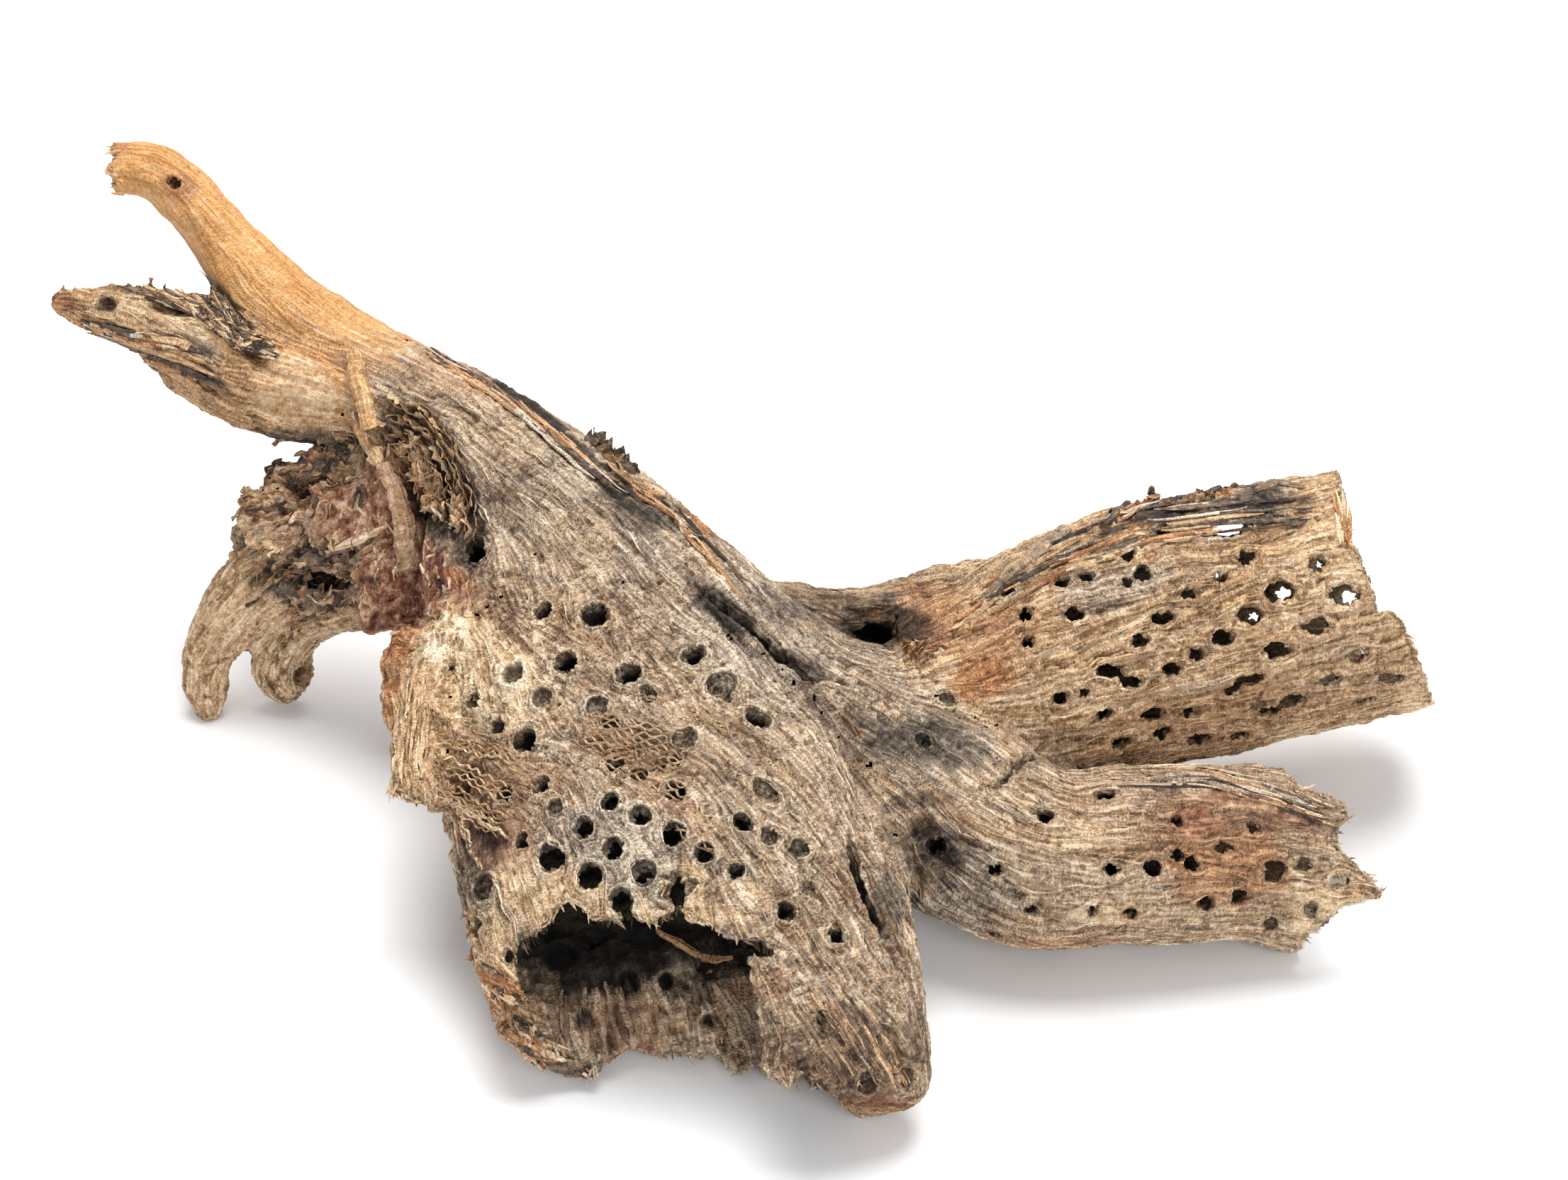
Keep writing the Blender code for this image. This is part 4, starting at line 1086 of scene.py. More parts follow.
furrow = np.zeros(len(points))
for height, size, length in STREAKS:
    furrow += height * streaks(points, flow, size, length)
for deep, size, length, width in CLEFTS:
    line = np.abs(streaks(points + 0.31, flow, size, length))
    furrow -= deep * smooth_step(width * 2, 0.0, line)
rough_share = shares @ np.array([ROUGHNESS_OF_LIMB.get(name, 1.0) for name in limb_names])
lumpy_share = shares @ np.array([LUMPY_LIMBS.get(name, 0.0) for name in limb_names])
lumps = sum(height * (1 - 2.4 * np.abs(smooth_noise(points / (size * MM)))) for height, size in LUMPS)
across, down = picture_of(points)
for place in LUMPY_PATCHES:
    lumpy_share = np.maximum(lumpy_share, patch(across, down, place))
inner_furrow = sum(height * streaks(points, flow, size, length) for height, size, length in INNER_STREAKS)
lip, rings = ring_relief(len(points), pairs)
relief = (furrow * rough_share * outer * 0.6 + inner_furrow * (1 - outer) * 0.6
          + lumps * lumpy_share * outer * 0.7)
facing = smooth_step(0.15, -0.25, normals @ np.array(AWAY))
dent = np.zeros(len(points))
for place, deep in DENTS:
    dent = np.maximum(dent, deep * patch(across, down, place) * facing)
rise = relief * MM + lip * COLLAR_HEIGHT * outer + rings * WHORL_HEIGHT
points += normals * rise[:, None] + np.array(AWAY) * (dent * MM)[:, None]
points[:, 2] = np.maximum(points[:, 2], TABLE)
write_points(wood.data, points)
normals = read_normals(wood.data)
# Kept as 'furrow' for the finish, which paints shade and light by it: furrows and dents darker, raised lips
# and ridges lighter
relief = relief + lip * 0.8 + 0.5 * rings - 0.35 * np.minimum(dent, 3.0)
print("relief", round(time.time() - STARTED, 1), "s")

# %% [markdown]
# ## Where each colour of wood lies
# This piece has many ages of wood on it: silver grey where sun and rain have worked, tan where bark came off
# late, rust and purple at the rotten root, cream where it broke last. Each colour has soft patches placed by
# the front view and a share on each limb, and noise frays their edges. Two sets are painted light and shade:
# 'lit' is painted light that lifts the painted shade on the floor and lip of the front hollow, and 'dark' is
# partly real dark bark and rot, partly painted shade in hollows, sockets and under the fibre net.

# %% Stains and painted light and shade
# Each colour, and the painted light and shade, has a share on whole limbs, then patches: across, down, half
# width, half height, turn, strength
STAINS_AND_PAINTED_LIGHT = {
    "grey": (
        {"trunk": 0.7, "front_limb": 0.62, "low_limb": 0.55, "high_limb": 0.3, "left_prong": 0.1,
         "bark_rib": 0.6, "neck": 0.6, "back_saddle": 0.4, "split_sliver": 0.6, "claw_stub": 0.35},
        ((860, 730, 190, 60, 40, 0.8), (1080, 900, 160, 90, 40, 0.9), (1300, 1040, 110, 60, 0, 1.0),
         (880, 1200, 140, 90, 10, 1.0), (1000, 1090, 200, 90, 45, 0.6), (1340, 1250, 110, 90, 0, 0.9),
         (1560, 830, 120, 40, -15, 0.7), (1720, 720, 110, 40, -10, 0.9), (262, 500, 54, 30, 20, 0.95),
         (1590, 1130, 120, 40, 0, 0.6), (1130, 1330, 120, 60, 50, 0.5))),
    "rust": (
        {"left_prong": 0.3, "left_stub": 0.25, "tan_stub": 0.2, "purple_stump": 0.3, "brown_flake": 0.9,
         "root_roll": 0.2, "root_mat": 0.2, "back_saddle": 0.15},
        ((1380, 960, 42, 38, 0, 0.9), (1720, 1200, 120, 80, 20, 0.65), (1640, 1180, 70, 60, 0, 0.35),
         (690, 500, 90, 12, 32, 0.8), (700, 1088, 90, 60, 10, 0.45), (900, 1066, 90, 44, 15, 0.4),
         (585, 1030, 50, 100, 0, 0.35), (860, 670, 60, 12, 20, 0.9), (980, 730, 40, 12, 45, 0.8),
         (120, 470, 62, 16, 24, 0.95), (1240, 1570, 70, 30, 0, 0.8), (1200, 1500, 90, 60, 20, 0.35),
         (700, 1180, 60, 60, 20, 0.5), (700, 880, 40, 60, 60, 0.35), (634, 818, 34, 26, 0, 0.95),
         (545, 950, 26, 60, 0, 0.95), (1060, 1390, 60, 26, 0, 0.4), (700, 1440, 70, 70, 40, 0.65),
         (440, 480, 70, 26, 30, 0.4), (1400, 890, 130, 40, -12, 0.5), (1310, 870, 50, 50, 0, 0.6),
         (1400, 1330, 60, 16, 0, 0.4), (155, 210, 40, 20, 0, 0.6), (250, 262, 30, 30, 0, 0.7),
         (1640, 730, 110, 14, -8, 0.6), (1700, 1020, 190, 44, -10, 0.45), (1890, 730, 16, 46, -12, 0.6),
         (860, 1440, 120, 40, 0, 0.4), (960, 1150, 70, 26, 25, 0.3), (290, 1000, 30, 30, 0, 0.85),
         (284, 850, 18, 30, 0, 0.6), (1500, 1330, 120, 12, 0, 0.4), (90, 425, 30, 18, 0, 0.75),
         (1215, 1490, 100, 80, 20, 0.4), (1790, 1150, 100, 36, 0, 0.5), (640, 530, 70, 30, 30, 0.35))),
    "purple": (
        {"purple_stump": 0.75, "root_roll": 0.5, "root_crest": 0.4, "root_mat": 0.35},
        ((580, 830, 76, 60, 0, 0.95), (500, 720, 66, 36, 0, 0.85), (400, 740, 80, 30, 0, 0.4),
         (930, 1110, 80, 22, 30, 0.4), (900, 1450, 70, 34, 0, 0.75), (690, 1190, 40, 50, 0, 0.55),
         (1790, 1140, 90, 34, 0, 0.5), (1690, 1160, 50, 36, 0, 0.4), (600, 590, 30, 30, 0, 0.5),
         (690, 1420, 50, 40, 0, 0.35), (275, 470, 16, 12, 0, 0.5))),
    "pale": (
        {"antler": 0.1, "tan_stub": 0.6, "front_limb": 0.05, "low_limb": 0.1, "high_limb": 0.1,
         "left_stub": 0.75, "claw_stub": 0.3, "left_prong": 0.05},
        ((680, 960, 100, 90, 20, 0.75), (790, 1280, 60, 60, 0, 1.0), (736, 1262, 26, 50, -30, 1.0),
         (940, 1296, 110, 16, 0, 1.0), (975, 1256, 22, 56, -10, 1.0), (700, 1330, 50, 40, 0, 0.85),
         (636, 905, 36, 44, 0, 0.95), (1560, 1290, 60, 16, 0, 0.7), (1530, 1180, 70, 36, 0, 0.45),
         (1880, 1280, 60, 60, -40, 1.0), (1900, 1160, 40, 20, 20, 0.6), (1300, 1230, 40, 30, 0, 0.5),
         (1880, 790, 60, 120, 0, 0.45), (2000, 980, 40, 40, 0, 0.8), (560, 1010, 20, 110, 0, 0.15),
         (420, 560, 100, 50, 20, 0.65), (1240, 1585, 50, 20, 0, 0.7), (240, 452, 70, 18, 16, 0.75),
         (160, 430, 50, 16, 0, 0.7), (700, 610, 70, 40, 40, 0.4), (740, 1010, 60, 40, 0, 0.5),
         (690, 1100, 80, 60, 10, 0.4), (900, 1066, 80, 40, 15, 0.35), (900, 1440, 130, 40, 0, 0.4),
         (330, 880, 40, 50, -50, 0.6), (750, 1460, 40, 24, 30, 0.6), (1720, 1030, 180, 40, -10, 0.35),
         (780, 880, 80, 60, 30, 0.4), (800, 760, 80, 60, 40, 0.35))),
    # Partly real dark bark and rot, partly painted shade: the sockets in the front hollow's floor, the band
    # across the top of that hollow and the cells under the fibre net
    "dark": (
        {"root_roll": 0.4, "root_crest": 0.75, "root_mat": 0.75, "purple_stump": 0.1, "back_saddle": 0.35},
        ((780, 600, 180, 12, 41, 0.95), (905, 720, 60, 26, 42, 0.7), (1010, 850, 70, 16, 42, 0.8),
         (1120, 930, 50, 14, 25, 0.8), (316, 446, 80, 20, 54, 0.9), (240, 404, 80, 12, 0, 0.6),
         (150, 430, 13, 10, 0, 0.7), (244, 434, 26, 8, 10, 0.7), (280, 526, 60, 8, 30, 0.95),
         (210, 482, 70, 7, 22, 0.95), (190, 505, 60, 12, 20, 0.45), (1215, 1480, 110, 80, 20, 0.55),
         (1790, 1150, 80, 30, 0, 0.35), (1160, 866, 60, 26, 0, 0.5), (440, 820, 80, 40, 0, 0.9),
         (430, 640, 90, 40, 0, 0.85), (614, 686, 112, 40, 62, 0.85), (1310, 1200, 60, 40, 20, 0.7),
         (1250, 1290, 26, 50, 0, 0.6), (1240, 880, 70, 40, 0, 0.7), (1300, 1040, 90, 40, 0, 0.6),
         (1630, 712, 80, 26, -8, 0.85), (1750, 712, 90, 26, 0, 0.75), (665, 1240, 30, 90, 14, 0.55),
         (1180, 850, 110, 24, 0, 0.5), (1870, 1150, 60, 30, 30, 0.4), (1290, 1130, 60, 12, -10, 0.5),
         (1480, 1075, 60, 16, 0, 0.35), (660, 780, 20, 40, 0, 0.7), (700, 1088, 80, 56, 10, 0.12),
         (900, 1066, 76, 34, 15, 0.12), (1480, 790, 90, 26, -25, 0.5), (556, 948, 12, 24, 0, 0.45),
         (886, 1391, 15, 17, 0, 1.0), (940, 1385, 10, 12, 0, 1.0), (823, 1436, 10, 14, 0, 1.0),
         (789, 1351, 22, 18, 0, 1.0), (1000, 1440, 9, 9, 0, 0.9), (880, 1330, 170, 34, 0, 0.75),
         (950, 1070, 90, 40, 30, 0.3), (800, 1410, 26, 40, 0, 0.5), (750, 1370, 24, 40, 0, 0.7),
         (420, 700, 30, 50, 40, 0.5), (505, 770, 40, 10, -20, 0.7), (1200, 1510, 80, 30, 0, 0.3))),
    # Painted light: the floor and lip of the front hollow, where it lifts the painted shade of the holes
    "lit": (
        {}, ((890, 1450, 190, 60, 0, 1.0), (1050, 1460, 130, 90, 30, 1.0), (740, 1440, 80, 70, 0, 1.0))),
    "smooth": (
        {"antler": 1.0, "left_stub": 0.5, "claw_stub": 0.25},
        ((440, 545, 120, 70, 20, 0.85), (590, 1020, 50, 110, 0, 0.5), (300, 900, 50, 60, -20, 0.3),
         (560, 500, 90, 40, 30, 0.8), (650, 580, 90, 40, 36, 0.35))),
}
FRAY = ((0.40, 20), (0.30, 7), (0.22, 2.5))


def strength_of_patches(name):
    by_limb, patches = STAINS_AND_PAINTED_LIGHT[name]
    strength = shares @ np.array([by_limb.get(limb, 0.0) for limb in limb_names])
    for place in patches:
        strength = np.maximum(strength, patch(across, down, place, fray))
    return strength


across, down = picture_of(points)
fray = sum(height * smooth_noise(points / (size * MM)) for height, size in FRAY)
stains_and_painted_light = {name: strength_of_patches(name) for name in STAINS_AND_PAINTED_LIGHT}
print({name: round(float(strength.mean()), 2) for name, strength in stains_and_painted_light.items()})

# %% [markdown]
# ## Giving the mesh its numbers
# The finish is painted by nodes, and nodes can read numbers that are kept on the mesh: the direction of the
# fibres, the strength of each colour and of the painted light and shade, the depth in a hole, by which shade
# is painted, and the height in the grain, by which furrows are painted darker and ridges lighter.

# %% Attributes


def keep_number(data, name, values):
    data.attributes.new(name, "FLOAT", "POINT").data.foreach_set("value", values.astype(np.float32))


def keep_vector(data, name, values):
    data.attributes.new(name, "FLOAT_VECTOR", "POINT").data.foreach_set("vector",
                                                                      values.astype(np.float32).ravel())


keep_vector(wood.data, "flow", flow)
keep_number(wood.data, "sunk", sunk / MM)
keep_number(wood.data, "furrow", relief)
keep_number(wood.data, "eye", eye_distance(len(points), pairs))
for name, strength in stains_and_painted_light.items():
    keep_number(wood.data, name, strength)
print([attribute.name for attribute in wood.data.attributes])

# %% [markdown]
# ## The wood finish
# Old wood has no single colour. Fibres show as streaks in every colour it takes, so the finish starts with
# streaks: noise read at several steps along the fibre and averaged, as the relief is. Each age of wood is a
# ramp that the streaks run through, and the numbers on the mesh mix the ramps. An image would show the same
# from one side only, while noise in the solid goes all the way round.

# %% Node helpers
MIX_FIRST = 6
MIX_SECOND = 7
MIX_RESULT = 2


class Finish:
    """A material that is built node by node."""

    def __init__(self, name):
        self.material = bpy.data.materials.new(name)
        self.material.use_nodes = True
        self.tree = self.material.node_tree
        self.surface = self.tree.nodes["Principled BSDF"]

    def put(self, node, socket, value):
        if isinstance(value, bpy.types.NodeSocket):
            self.tree.links.new(value, node.inputs[socket])
        else:
            node.inputs[socket].default_value = value

    def number(self, operation, *values, clamp=False):
        node = self.tree.nodes.new("ShaderNodeMath")
        node.operation = operation
        node.use_clamp = clamp
        for i, value in enumerate(values):
            self.put(node, i, value)
        return node.outputs[0]

    def plus(self, first, second, clamp=False):
        return self.number("ADD", first, second, clamp=clamp)

    def times(self, first, second):
        return self.number("MULTIPLY", first, second)

    def vector(self, operation, first, second=None, scale=None):
        node = self.tree.nodes.new("ShaderNodeVectorMath")
        node.operation = operation
        self.put(node, 0, first)
        if second is not None:
            self.put(node, 1, second)
        if scale is not None:
            self.put(node, "Scale", scale)
        return node.outputs["Value" if operation in ("LENGTH", "DOT_PRODUCT") else "Vector"]

    def kept(self, name, output="Fac"):
        node = self.tree.nodes.new("ShaderNodeAttribute")
        node.attribute_name = name
        return node.outputs[output]

    def noise(self, place, size, detail=2.0, rough=0.5):
        node = self.tree.nodes.new("ShaderNodeTexNoise")
        self.put(node, "Vector", place)
        node.inputs["Scale"].default_value = 1 / (size * MM)
        node.inputs["Detail"].default_value = detail
        node.inputs["Roughness"].default_value = rough
        return node.outputs["Fac"]

    def ramp(self, value, *stops):
        node = self.tree.nodes.new("ShaderNodeValToRGB")
        self.put(node, "Fac", value)
        points = node.color_ramp.elements
        while len(points) < len(stops):
            points.new(0.5)
        for point, (place, colour) in zip(points, stops):
            point.position = place
            point.color = (*colour, 1)
        return node.outputs["Color"]

    def span(self, value, low, high, to_low=0.0, to_high=1.0):
        node = self.tree.nodes.new("ShaderNodeMapRange")
        for socket, number in zip(("Value", "From Min", "From Max", "To Min", "To Max"),
                                  (value, low, high, to_low, to_high)):
            self.put(node, socket, number)
        return node.outputs["Result"]

    def mix(self, share, first, second, blend="MIX"):
        node = self.tree.nodes.new("ShaderNodeMix")
        node.data_type = "RGBA"
        node.blend_type = blend
        self.put(node, "Factor", share)
        self.put(node, MIX_FIRST, first)
        self.put(node, MIX_SECOND, second)
        return node.outputs[MIX_RESULT]

    def darken(self, colour, light):
        """The colour times a grey that is as light as this."""
        return self.mix(1.0, colour, self.ramp(light, (0.0, (0, 0, 0)), (1.0, (1, 1, 1))), "MULTIPLY")


print("a mix reads sockets", MIX_FIRST, "and", MIX_SECOND)

# %% Wood
FIBRE_SIZE = 1.25
FIBRE_READS = (-5.1, -3.9, -2.4, -1.3, 0.0, 0.9, 2.2, 3.1, 4.8)
BAND_SIZE = 3.6
BAND_READS = (-11.0, -6.4, -2.5, 1.9, 5.1, 9.7)
CLOUD_SIZE = 24
CONTRAST = 0.17
RING_PACE = 15.0
RING_TONE = 0.16
RAMPS = {
    "tan": (
        (0.0, (0.17, 0.08, 0.035)), (0.36, (0.48, 0.29, 0.145)), (0.65, (0.74, 0.50, 0.285)),
        (1.0, (0.92, 0.72, 0.47))),
    "smooth": (
        (0.0, (0.38, 0.16, 0.045)), (0.45, (0.64, 0.33, 0.12)), (0.75, (0.78, 0.44, 0.175)),
        (1.0, (0.90, 0.62, 0.34))),
    "grey": (
        (0.0, (0.07, 0.056, 0.048)), (0.36, (0.33, 0.255, 0.19)), (0.65, (0.60, 0.49, 0.365)),
        (1.0, (0.86, 0.75, 0.60))),
    "rust": ((0.0, (0.11, 0.035, 0.014)), (0.5, (0.42, 0.18, 0.075)), (1.0, (0.78, 0.44, 0.20))),
    "purple": (
        (0.0, (0.030, 0.012, 0.010)), (0.3, (0.20, 0.066, 0.042)), (0.6, (0.40, 0.17, 0.105)),
        (1.0, (0.86, 0.56, 0.37))),
    "pale": ((0.0, (0.34, 0.19, 0.10)), (0.45, (0.74, 0.52, 0.31)), (1.0, (0.95, 0.82, 0.61))),
    "dark": ((0.0, (0.010, 0.008, 0.007)), (0.5, (0.062, 0.045, 0.036)), (1.0, (0.27, 0.19, 0.14))),
}
SLIT_SIZE = 1.5
SLIT_READS = (-2.9, -1.6, -0.4, 0.9, 2.3, 3.4)
FLAKE_SIZE = 3.4


def drawn_out(finish, place, flow, size, reads):
    """Noise averaged along the fibres, with its contrast brought back. Uneven steps leave no echo."""
    total = 0.0
    for reach in reads:
        step = finish.vector("SCALE", flow, scale=reach * MM)
        total = finish.plus(total, finish.noise(finish.vector("ADD", place, step), size))
    half = len(reads) ** 0.5 * CONTRAST
    return finish.span(total, len(reads) * 0.5 - half, len(reads) * 0.5 + half)


def make_wood_finish():
    finish = Finish("old cholla wood")
    place = finish.tree.nodes.new("ShaderNodeTexCoord").outputs["Object"]
    flow = finish.kept("flow", "Vector")
    fibre = drawn_out(finish, place, flow, FIBRE_SIZE, FIBRE_READS)
    band = drawn_out(finish, place, flow, BAND_SIZE, BAND_READS)
    eye = finish.kept("eye")
    ring_place = finish.plus(finish.times(eye, RING_PACE), finish.times(band, 3.0))
    ring = finish.times(finish.number("SINE", ring_place), finish.span(eye, 1.3, 2.1, 1.0, 0.0))
    speck = finish.noise(place, 0.9, 3.0, 0.7)
    cloud = finish.noise(place, CLOUD_SIZE)
    slit = drawn_out(finish, place, flow, SLIT_SIZE, SLIT_READS)
    flaky = finish.number("MAXIMUM", finish.kept("purple"), finish.times(finish.kept("dark"), 0.6))
    flake = finish.span(finish.noise(place, FLAKE_SIZE, 6.0, 0.78), 0.36, 0.64)
    grain = finish.plus(finish.times(fibre, 0.50), finish.times(band, 0.30))
    tone = finish.mix(flaky, grain, finish.times(flake, 0.80))
    tone = finish.plus(tone, finish.times(speck, 0.24))
    tone = finish.plus(tone, finish.span(cloud, 0.3, 0.7, -0.12, 0.10))
    # Painted shade and painted light: low furrows and dents darker, raised lips and ridges lighter
    tone = finish.plus(tone, finish.span(finish.kept("furrow"), -1.4, 1.4, -0.40, 0.32), clamp=True)
    tone = finish.plus(tone, finish.times(ring, RING_TONE), clamp=True)
    colour = finish.ramp(tone, *RAMPS["tan"])
    for name in ("smooth", "grey", "rust", "purple", "pale", "dark"):
        share = finish.plus(finish.kept(name), finish.span(band, 0.0, 1.0, -0.25, 0.25))
        share = finish.span(share, 0.15, 0.85)
        colour = finish.mix(share, colour, finish.ramp(tone, *RAMPS[name]))
    # Painted shade: thin dark lines and lens-shaped slits in the gaps between the fibres
    line = finish.number("ABSOLUTE", finish.number("SUBTRACT", fibre, 0.42))
    gap = finish.times(finish.span(line, 0.0, 0.09, 0.40, 1.0), finish.span(slit, 0.04, 0.28, 0.40, 1.0))
    gap = finish.number("MAXIMUM", gap, finish.number("MAXIMUM", finish.kept("smooth"), flaky))
    colour = finish.darken(colour, gap)
    # Painted shade: a dark ring in the groove round each eye and a darker floor inside the sunken eye
    socket_edge = finish.number("ABSOLUTE", finish.number("SUBTRACT", eye, 0.95))
    edge = finish.times(finish.span(socket_edge, 0.05, 0.25, 0.3, 1.0),
                        finish.span(eye, 0.7, 1.05, 0.65, 1.0))
    colour = finish.darken(colour, edge)
    # Painted shade: the deeper a point lies in a hole, the darker its colour. The 'lit' patches lift this
    # painted shade again as painted light.
    shade = finish.span(finish.kept("sunk"), 1.2, 7.0, 1.0, 0.06)
    shade = finish.number("MAXIMUM", shade, finish.kept("lit"))
    colour = finish.darken(colour, shade)
    finish.put(finish.surface, "Base Color", colour)
    finish.put(finish.surface, "Roughness", finish.span(finish.kept("smooth"), 0.0, 1.0, 0.86, 0.62))
    finish.surface.inputs["Specular IOR Level"].default_value = 0.3
    bump = finish.tree.nodes.new("ShaderNodeBump")
    bump.inputs["Strength"].default_value = 1.0
    bump.inputs["Distance"].default_value = 0.6 * MM
    height = finish.plus(fibre, finish.times(speck, 0.35))
    height = finish.plus(height, finish.times(ring, 0.5))
    height = finish.plus(height, finish.times(slit, 0.6))
    height = finish.plus(height, finish.times(flake, flaky))
    finish.put(bump, "Height", height)
    finish.put(finish.surface, "Normal", bump.outputs["Normal"])
    return finish.material


wood_finish = make_wood_finish()
print(wood_finish.name, "has", len(wood_finish.node_tree.nodes), "nodes")

# %% [markdown]
# ## Loose fibres, flakes and sheets
# Some of the wood has come away from the skin: fibres that lift, splinters at the breaks, bark flakes and a
# nest of papery sheets. A displaced skin cannot hang over itself, so these are small closed shapes of their
# own. Each takes its colours from the skin below it, so that it looks grown there.

# %% Bundles
SHEET_ROWS = 3
SHEET_COLUMNS = 6
SHEET_RIPPLE = 0.05
# Painted shade at the foot of each sheet, given as a depth in a hole that darkens it
SHEET_ROOT_SHADE = 2.8
SHEET_BEND = 0.4
SHEET_SINK = 0.25
SHEET_NARROWS = 0.15
SHEET_THICKNESS = 0.55 * MM
LOOSE_FURROW = 0.4
TONE_SPREAD = 0.8
skin_tree = surface_of(wood)
skin_points = KDTree(len(points))
for number, point in enumerate(points):
    skin_points.insert(point, number)
skin_points.balance()
pieces = []


def nearest(place):
    """The number of the skin point nearest to a place."""
    return skin_points.find(place)[1]


def on_skin(across, down):
    """The place on the finished skin that shows here, its normal and the nearest skin point."""
    place, normal, _ = on_wood(skin_tree, across, down)
    if place is None:
        return None
    return place, normal, nearest(place)


def random_way(draw):
    return Vector([draw.gauss(0, 1) for _ in range(3)]).normalized()


def point_on(line, part):
    """The point at this part of the way along a line in the picture."""
    part *= len(line) - 1
    i = min(int(part), len(line) - 2)
    part -= i
    return (line[i][0] + (line[i + 1][0] - line[i][0]) * part,
            line[i][1] + (line[i + 1][1] - line[i][1]) * part)


class Bundle:
    """Many small closed shapes that make one piece."""

    def __init__(self, name, seed):
        self.name = name
        self.draw = random.Random(seed)
        self.points = []
        self.faces = []
        self.flow = []
        self.near = []
        self.sunk = []
        self.tints = []
        self.tone = []
        self.set_tint({})

    def set_tint(self, tint):
        """The stains and painted light and shade of the shapes that follow. "keep" is how much of the skin's
        stains and painted light and shade they keep.
        """
        self.tint = tint
        self.shape_tone = LOOSE_FURROW + self.draw.uniform(-TONE_SPREAD, TONE_SPREAD)

    def add_point(self, place, way, near, sunk=0.0):
        self.points.append(place)
        self.flow.append(way)
        self.near.append(near)
        self.sunk.append(sunk)
        self.tints.append(self.tint)
        self.tone.append(self.shape_tone)

    def tube(self, path, normals, radii, nears, sides=3, flat=1.0):
        """A closed tube along a path, flattened toward the skin."""
        first = len(self.points)
        for i, place in enumerate(path):
            way = (path[min(i + 1, len(path) - 1)] - path[max(i - 1, 0)]).normalized()
            side = normals[i].cross(way).normalized()
            for k in range(sides):
                turn = 2 * math.pi * (k + 0.75) / sides
                off = normals[i] * math.sin(turn) * flat + side * math.cos(turn)
                self.add_point(place + off * radii[i], way, nears[i])
        for i in range(len(path) - 1):
            low = first + i * sides
            for k in range(sides):
                j = (k + 1) % sides
                self.faces.append((low + k, low + j, low + sides + j, low + sides + k))
        self.faces.append(tuple(first + k for k in reversed(range(sides))))
        last = first + sides * (len(path) - 1)
        self.faces.append(tuple(last + k for k in range(sides)))

    def sheet(self, root, along, out, length, height, curl, near):
        """A thin flake that stands on its root and curls over. Its foot is painted dark as painted shade, as
        if deep in a hole.
        """
        draw = self.draw
        side = along.cross(out).normalized()
        first = len(self.points)
        across_count = SHEET_COLUMNS + 1
        grid = []
        bend = draw.uniform(-SHEET_BEND, SHEET_BEND)
        phase = draw.uniform(0, 6.3)
        for j in range(SHEET_ROWS + 1):
            turn = curl * j / SHEET_ROWS
            rise = math.sin(turn) / curl if abs(curl) > 0.05 else j / SHEET_ROWS
            over = (1 - math.cos(turn)) / curl if abs(curl) > 0.05 else 0.0
            face_way = (side * math.cos(turn) - out * math.sin(turn)).normalized()
            for i in range(across_count):
                part = i / SHEET_COLUMNS - 0.5
                tall = height * (0.8 + 0.2 * math.sin(phase + i * 1.7) - 0.5 * abs(part) ** 2)
                ripple = SHEET_RIPPLE * length * math.sin(phase * 2 + i * 1.2 + j * 0.7)
                place = (root + along * part * length * (1 - SHEET_NARROWS * j / SHEET_ROWS)
                         + out * (tall * rise - SHEET_SINK * height)
                         + side * (tall * over + ripple + bend * length * part * part * 2))
                grid.append((place, face_way, SHEET_THICKNESS * (1 - 0.5 * j / SHEET_ROWS), j))
        for sign in (0.5, -0.5):
            for place, face_way, thick, j in grid:
                deep = SHEET_ROOT_SHADE * (1 - j / SHEET_ROWS)
                self.add_point(place + face_way * thick * sign, along, near, deep)
        size = across_count * (SHEET_ROWS + 1)
        for j in range(SHEET_ROWS):
            for i in range(SHEET_COLUMNS):
                a = first + j * across_count + i
                b, c, d = a + 1, a + 1 + across_count, a + across_count
                self.faces.append((a, b, c, d))
                self.faces.append((d + size, c + size, b + size, a + size))
        border = (list(range(SHEET_COLUMNS))
                  + [SHEET_COLUMNS + j * across_count for j in range(SHEET_ROWS)]
                  + [SHEET_ROWS * across_count + i for i in range(SHEET_COLUMNS, 0, -1)]
                  + [j * across_count for j in range(SHEET_ROWS, 0, -1)])
        for a, b in zip(border, border[1:] + border[:1]):
            self.faces.append((first + b, first + a, first + a + size, first + b + size))

    def make(self):
        data = bpy.data.meshes.new(self.name)
        data.from_pydata([tuple(place) for place in self.points], [], self.faces)
        mesh = bmesh.new()
        mesh.from_mesh(data)
        bmesh.ops.recalc_face_normals(mesh, faces=mesh.faces)
        mesh.to_mesh(data)
        mesh.free()
        places = read_points(data)
        places[:, 2] = np.maximum(places[:, 2], TABLE)
        write_points(data, places)
        near = np.array(self.near)
        keep = np.array([tint.get("keep", 0.0) for tint in self.tints])
        keep_vector(data, "flow", np.array([tuple(way) for way in self.flow]))
        keep_number(data, "sunk", np.array(self.sunk))
        keep_number(data, "eye", np.full(len(near), NO_EYE))
        keep_number(data, "furrow", np.array(self.tone))
        for name, strength in stains_and_painted_light.items():
            own = np.array([tint.get(name, 0.0) for tint in self.tints])
            keep_number(data, name, np.maximum(strength[near] * keep, own))
        data.materials.append(wood_finish)
        piece = bpy.data.objects.new(self.name, data)
        bpy.context.scene.collection.objects.link(piece)
        pieces.append(piece)
        print(self.name, sum(len(face) - 2 for face in self.faces), "triangles")


print("loose shapes find their colours among", len(points), "skin points")

